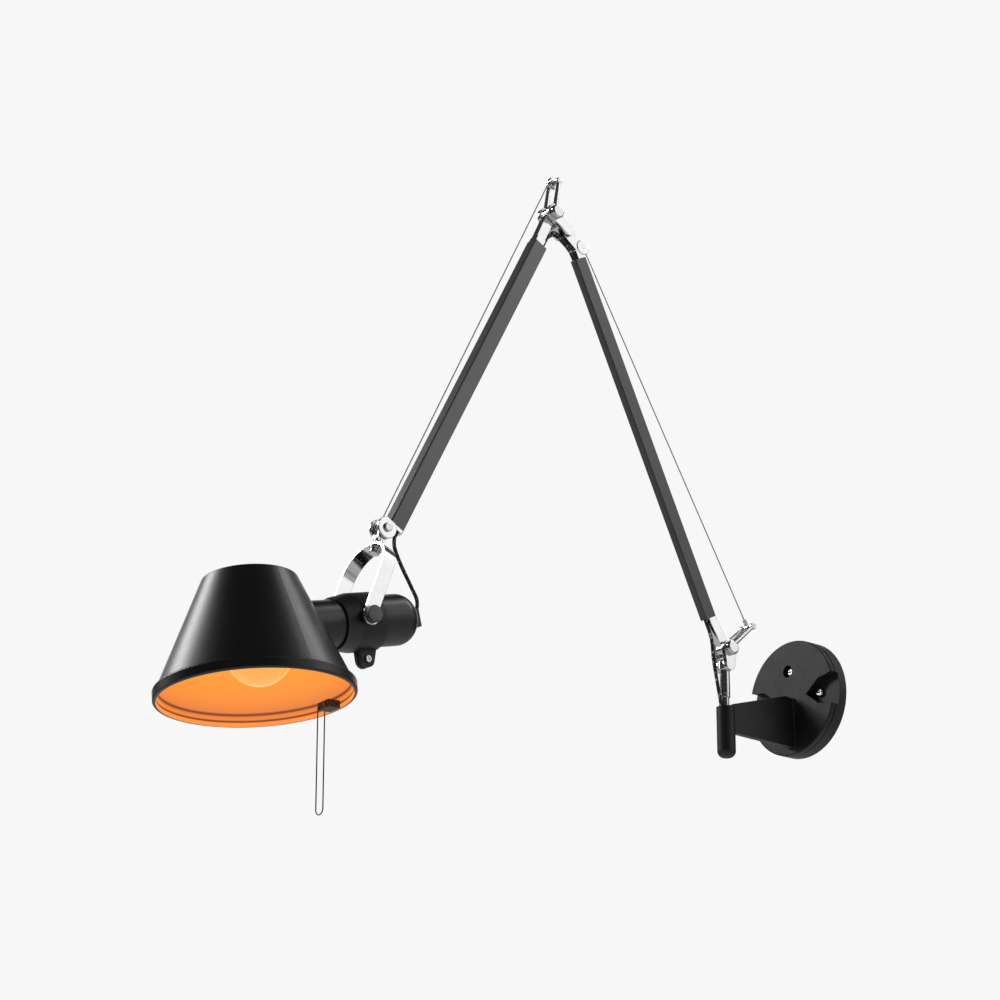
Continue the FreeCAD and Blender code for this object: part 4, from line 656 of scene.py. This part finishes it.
def lead_route(side, rise):
    """Route of one of the cable's two leads past the elbow."""
    x = side * LEAD_OFFSET
    bend_across, bend_along = ELBOW_BEND
    return rounded_route([
        lower.point(LOWER_CABLE_ACROSS, LOWER_TUBE_END - PLUG_LENGTH, x),
        lower.point(LOWER_CABLE_ACROSS, LOWER_TUBE_END + LEADS_PAST_TUBE, x),
        upper.point(bend_across + rise, bend_along, x),
        upper.point(UPPER_CABLE_ACROSS, UPPER_TUBE_START - CABLE_PAST_TUBE, x),
        upper.point(UPPER_CABLE_ACROSS, UPPER_TUBE_START + PLUG_LENGTH, x),
    ], LEAD_TRIM)


def make_power_cables():
    sleeve = materials["black_cable"]
    lower_route, head_route = power_routes()
    fine = finely(lower_route, STRAIGHT_STEP)
    low = tube_mesh("lower_power_cord", fine, CABLE_RADIUS, POWER_SIDES, sleeve)
    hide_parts("lower_power_cable")
    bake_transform(low)

    for name, side, rise in (("elbow_lead_far", -1, 0.0), ("elbow_lead_near", 1, LEAD_RISE)):
        lead = tube_mesh(name, finely(lead_route(side, rise), BEND_STEP), LEAD_RADIUS, LEAD_SIDES, sleeve)
        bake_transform(lead)
    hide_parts("elbow_leads")

    fine = finely(head_route, BEND_STEP)
    first = (upper.point(UPPER_CABLE_ACROSS, UPPER_TUBE_END + CABLE_PAST_TUBE) + HEAD_CABLE_NEAR) / 2
    second = (HEAD_CABLE_NEAR + HEAD_CABLE_FAR) / 2
    top, middle, end = split_route(fine, (first, second))
    pieces = (
        ("upper_power_cord", top, "upper_power_cable", "upper_arm", "head_link",
         upper.point(UPPER_CABLE_ACROSS, UPPER_TUBE_END) * MM, first * MM),
        ("yoke_power_cord", middle, "yoke_power_cable", "head_link", "yoke", first * MM, second * MM),
        ("head_power_cord", end, "head_power_cable", "yoke", "lampholder", second * MM,
         holder.point(6, GRIP_MIDDLE) * MM),
    )
    for name, route, node, a, b, start, stop in pieces:
        cord = tube_mesh(name, route, CABLE_RADIUS, POWER_SIDES, sleeve)
        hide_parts(node)
        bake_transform(cord)


def guide_route(place, spot, centre, track, stop):
    """From where a cable that comes from the spot touches a guide, round it and on to the spring's stop."""
    first = tangent_angle(spot, centre, track, 1)
    last = tangent_angle(stop, centre, track, -1) + 2 * math.pi
    return arc_points(place, centre, track, first, last, GUIDE_ARC_STEPS) + [place.point(*stop)]


def make_steel_cables():
    strand = materials["steel_cable"]
    tip = shoulder.point(*WALL_HORN_TIP)
    local = lower.turn.inverted() @ (tip - lower.origin)
    route = guide_route(lower, (local.y, local.z), LOWER_GUIDE, LOWER_TRACK, LOWER_STOP)
    touch = route[0]
    start = tip + (touch - tip).normalized() * FERRULE_REACH
    fine = finely([start] + route, STEEL_STEP)
    cable = tube_mesh("lower_steel_cord", fine, STEEL_RADIUS, STEEL_SIDES, strand)
    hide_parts("lower_steel_cable")
    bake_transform(cable)

    spot = (ELBOW_HORN[0] + ELBOW_HORN_TRACK, ELBOW_HORN[1])
    begin = arc_points(upper, ELBOW_HORN, ELBOW_HORN_TRACK, -math.pi / 2, 0.0, HORN_ARC_STEPS)
    route = begin + guide_route(upper, spot, UPPER_GUIDE, UPPER_TRACK, UPPER_STOP)
    cable = tube_mesh("upper_steel_cord", finely(route, STEEL_STEP), STEEL_RADIUS, STEEL_SIDES, strand)
    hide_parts("upper_steel_cable")
    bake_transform(cable)


make_power_cables()
make_steel_cables()


# ---------------------------------------------------------------------------
# Studio: camera, floor, lamps and background
# ---------------------------------------------------------------------------

CAMERA_SPOT = Vector((2.1169, -2.1701, -0.8256))
CAMERA_RIGHT = Vector((0.6401, 0.7683, 0.0))
CAMERA_UP = Vector((0.2514, -0.2095, 0.9450))
CAMERA_LENS = 109.4
SENSOR_WIDTH = 36.0
CLIP_END = 50
FLOOR_HEIGHT = -1.25
FLOOR_HALF = 6.0

# Lamps: name, place, what it points at, width, height, watts
LAMPS = (
    ("right_panel", (1.25, 0.7, 0.95), (0, -0.42, 0.1), 1.1, 1.1, 3.4),
    ("back_strip", (0.3, 0.35, 1.15), (0, -0.65, 0.0), 0.35, 0.7, 4),
    ("left_strip", (-1.3, -1.2, 0.95), (0, -0.69, -0.05), 0.42, 0.9, 14),
)

# What shiny surfaces see: a dim studio with pale patches, each from one direction, full inside the first
# angle and gone beyond the second, with its strength
BACKGROUND = 0.93
FILL = (0.55, 0.55, 0.56, 1)
DIM_STUDIO = 0.05
PATCHES = (
    ((-0.726, 0.605, 0.327), 20, 28, 1.0),
    ((0.7, 0.6, 0.38), 24, 44, 0.55),
    ((-0.9, -0.4, 0.1), 6, 16, 0.8),
)


def make_camera():
    camera = bpy.data.objects.new("camera", bpy.data.cameras.new("camera"))
    scene.collection.objects.link(camera)
    right = CAMERA_RIGHT.normalized()
    up = (CAMERA_UP - right * CAMERA_UP.dot(right)).normalized()
    back = right.cross(up)
    turn = Matrix((right, up, back)).transposed().to_4x4()
    camera.matrix_world = Matrix.Translation(CAMERA_SPOT) @ turn
    camera.data.lens = CAMERA_LENS
    camera.data.sensor_width = SENSOR_WIDTH
    camera.data.clip_end = CLIP_END
    scene.camera = camera


def make_floor():
    mesh = bpy.data.meshes.new("floor")
    signs = ((-1, -1), (1, -1), (1, 1), (-1, 1))
    corners = [(x * FLOOR_HALF, y * FLOOR_HALF, FLOOR_HEIGHT) for x, y in signs]
    mesh.from_pydata(corners, [], [(0, 1, 2, 3)])
    floor = bpy.data.objects.new("floor", mesh)
    scene.collection.objects.link(floor)
    n = Nodes("floor_paint")
    place = n.scaled((1, 1, 1))
    cloud = n.noise(place, scale=3, detail=3)
    tint = n.ramp(cloud, "Fac", [(0.3, grey(0.86)), (0.7, grey(0.9))])
    n.join(tint, "Color", n.shader, "Base Color")
    n.set(Roughness=0.9, Specular_IOR_Level=0.2)
    mesh.materials.append(n.material)


def make_lamp(name, spot, target, width, height, power):
    data = bpy.data.lights.new(name, "AREA")
    data.shape = "RECTANGLE"
    data.size = width
    data.size_y = height
    data.energy = power
    lamp = bpy.data.objects.new(name, data)
    scene.collection.objects.link(lamp)
    lamp.location = spot
    lamp.rotation_euler = (Vector(target) - Vector(spot)).to_track_quat("-Z", "Y").to_euler()
    lamp.visible_camera = False


def make_world():
    """A pale background for the camera, plain fill light, and a dim studio with patches for reflections."""
    world = bpy.data.worlds.new("studio")
    scene.world = world
    world.use_nodes = True
    tree = world.node_tree
    tree.nodes.clear()

    def add(kind, **values):
        node = tree.nodes.new(kind)
        for key, value in values.items():
            setattr(node, key, value)
        return node

    def largest(first, second):
        node = add("ShaderNodeMath", operation="MAXIMUM")
        tree.links.new(first, node.inputs[0])
        tree.links.new(second, node.inputs[1])
        return node.outputs["Value"]

    place = add("ShaderNodeTexCoord")

    def patch(toward, inner, outer, strength):
        """Light from one direction, full inside the inner angle and none beyond the outer one."""
        dot = add("ShaderNodeVectorMath", operation="DOT_PRODUCT")
        dot.inputs[1].default_value = Vector(toward).normalized()
        tree.links.new(place.outputs["Generated"], dot.inputs[0])
        fade = add("ShaderNodeMapRange", interpolation_type="SMOOTHSTEP")
        fade.inputs["From Min"].default_value = math.cos(math.radians(outer))
        fade.inputs["From Max"].default_value = math.cos(math.radians(inner))
        fade.inputs["To Min"].default_value = DIM_STUDIO
        fade.inputs["To Max"].default_value = strength
        tree.links.new(dot.outputs["Value"], fade.inputs["Value"])
        return fade.outputs["Result"]

    seen = add("ShaderNodeBackground")
    seen.inputs["Color"].default_value = (BACKGROUND, BACKGROUND, BACKGROUND, 1)
    fill = add("ShaderNodeBackground")
    fill.inputs["Color"].default_value = FILL
    path = add("ShaderNodeLightPath")
    direct = largest(path.outputs["Is Camera Ray"], path.outputs["Is Transmission Ray"])
    strength = direct
    for values in PATCHES:
        strength = largest(strength, patch(*values))
    tree.links.new(strength, seen.inputs["Strength"])
    mix = add("ShaderNodeMixShader")
    tree.links.new(largest(direct, path.outputs["Is Glossy Ray"]), mix.inputs["Fac"])
    tree.links.new(fill.outputs["Background"], mix.inputs[1])
    tree.links.new(seen.outputs["Background"], mix.inputs[2])
    output = add("ShaderNodeOutputWorld")
    tree.links.new(mix.outputs["Shader"], output.inputs["Surface"])


make_camera()
make_floor()
for lamp_values in LAMPS:
    make_lamp(*lamp_values)
make_world()

scene.view_settings.view_transform = "Standard"
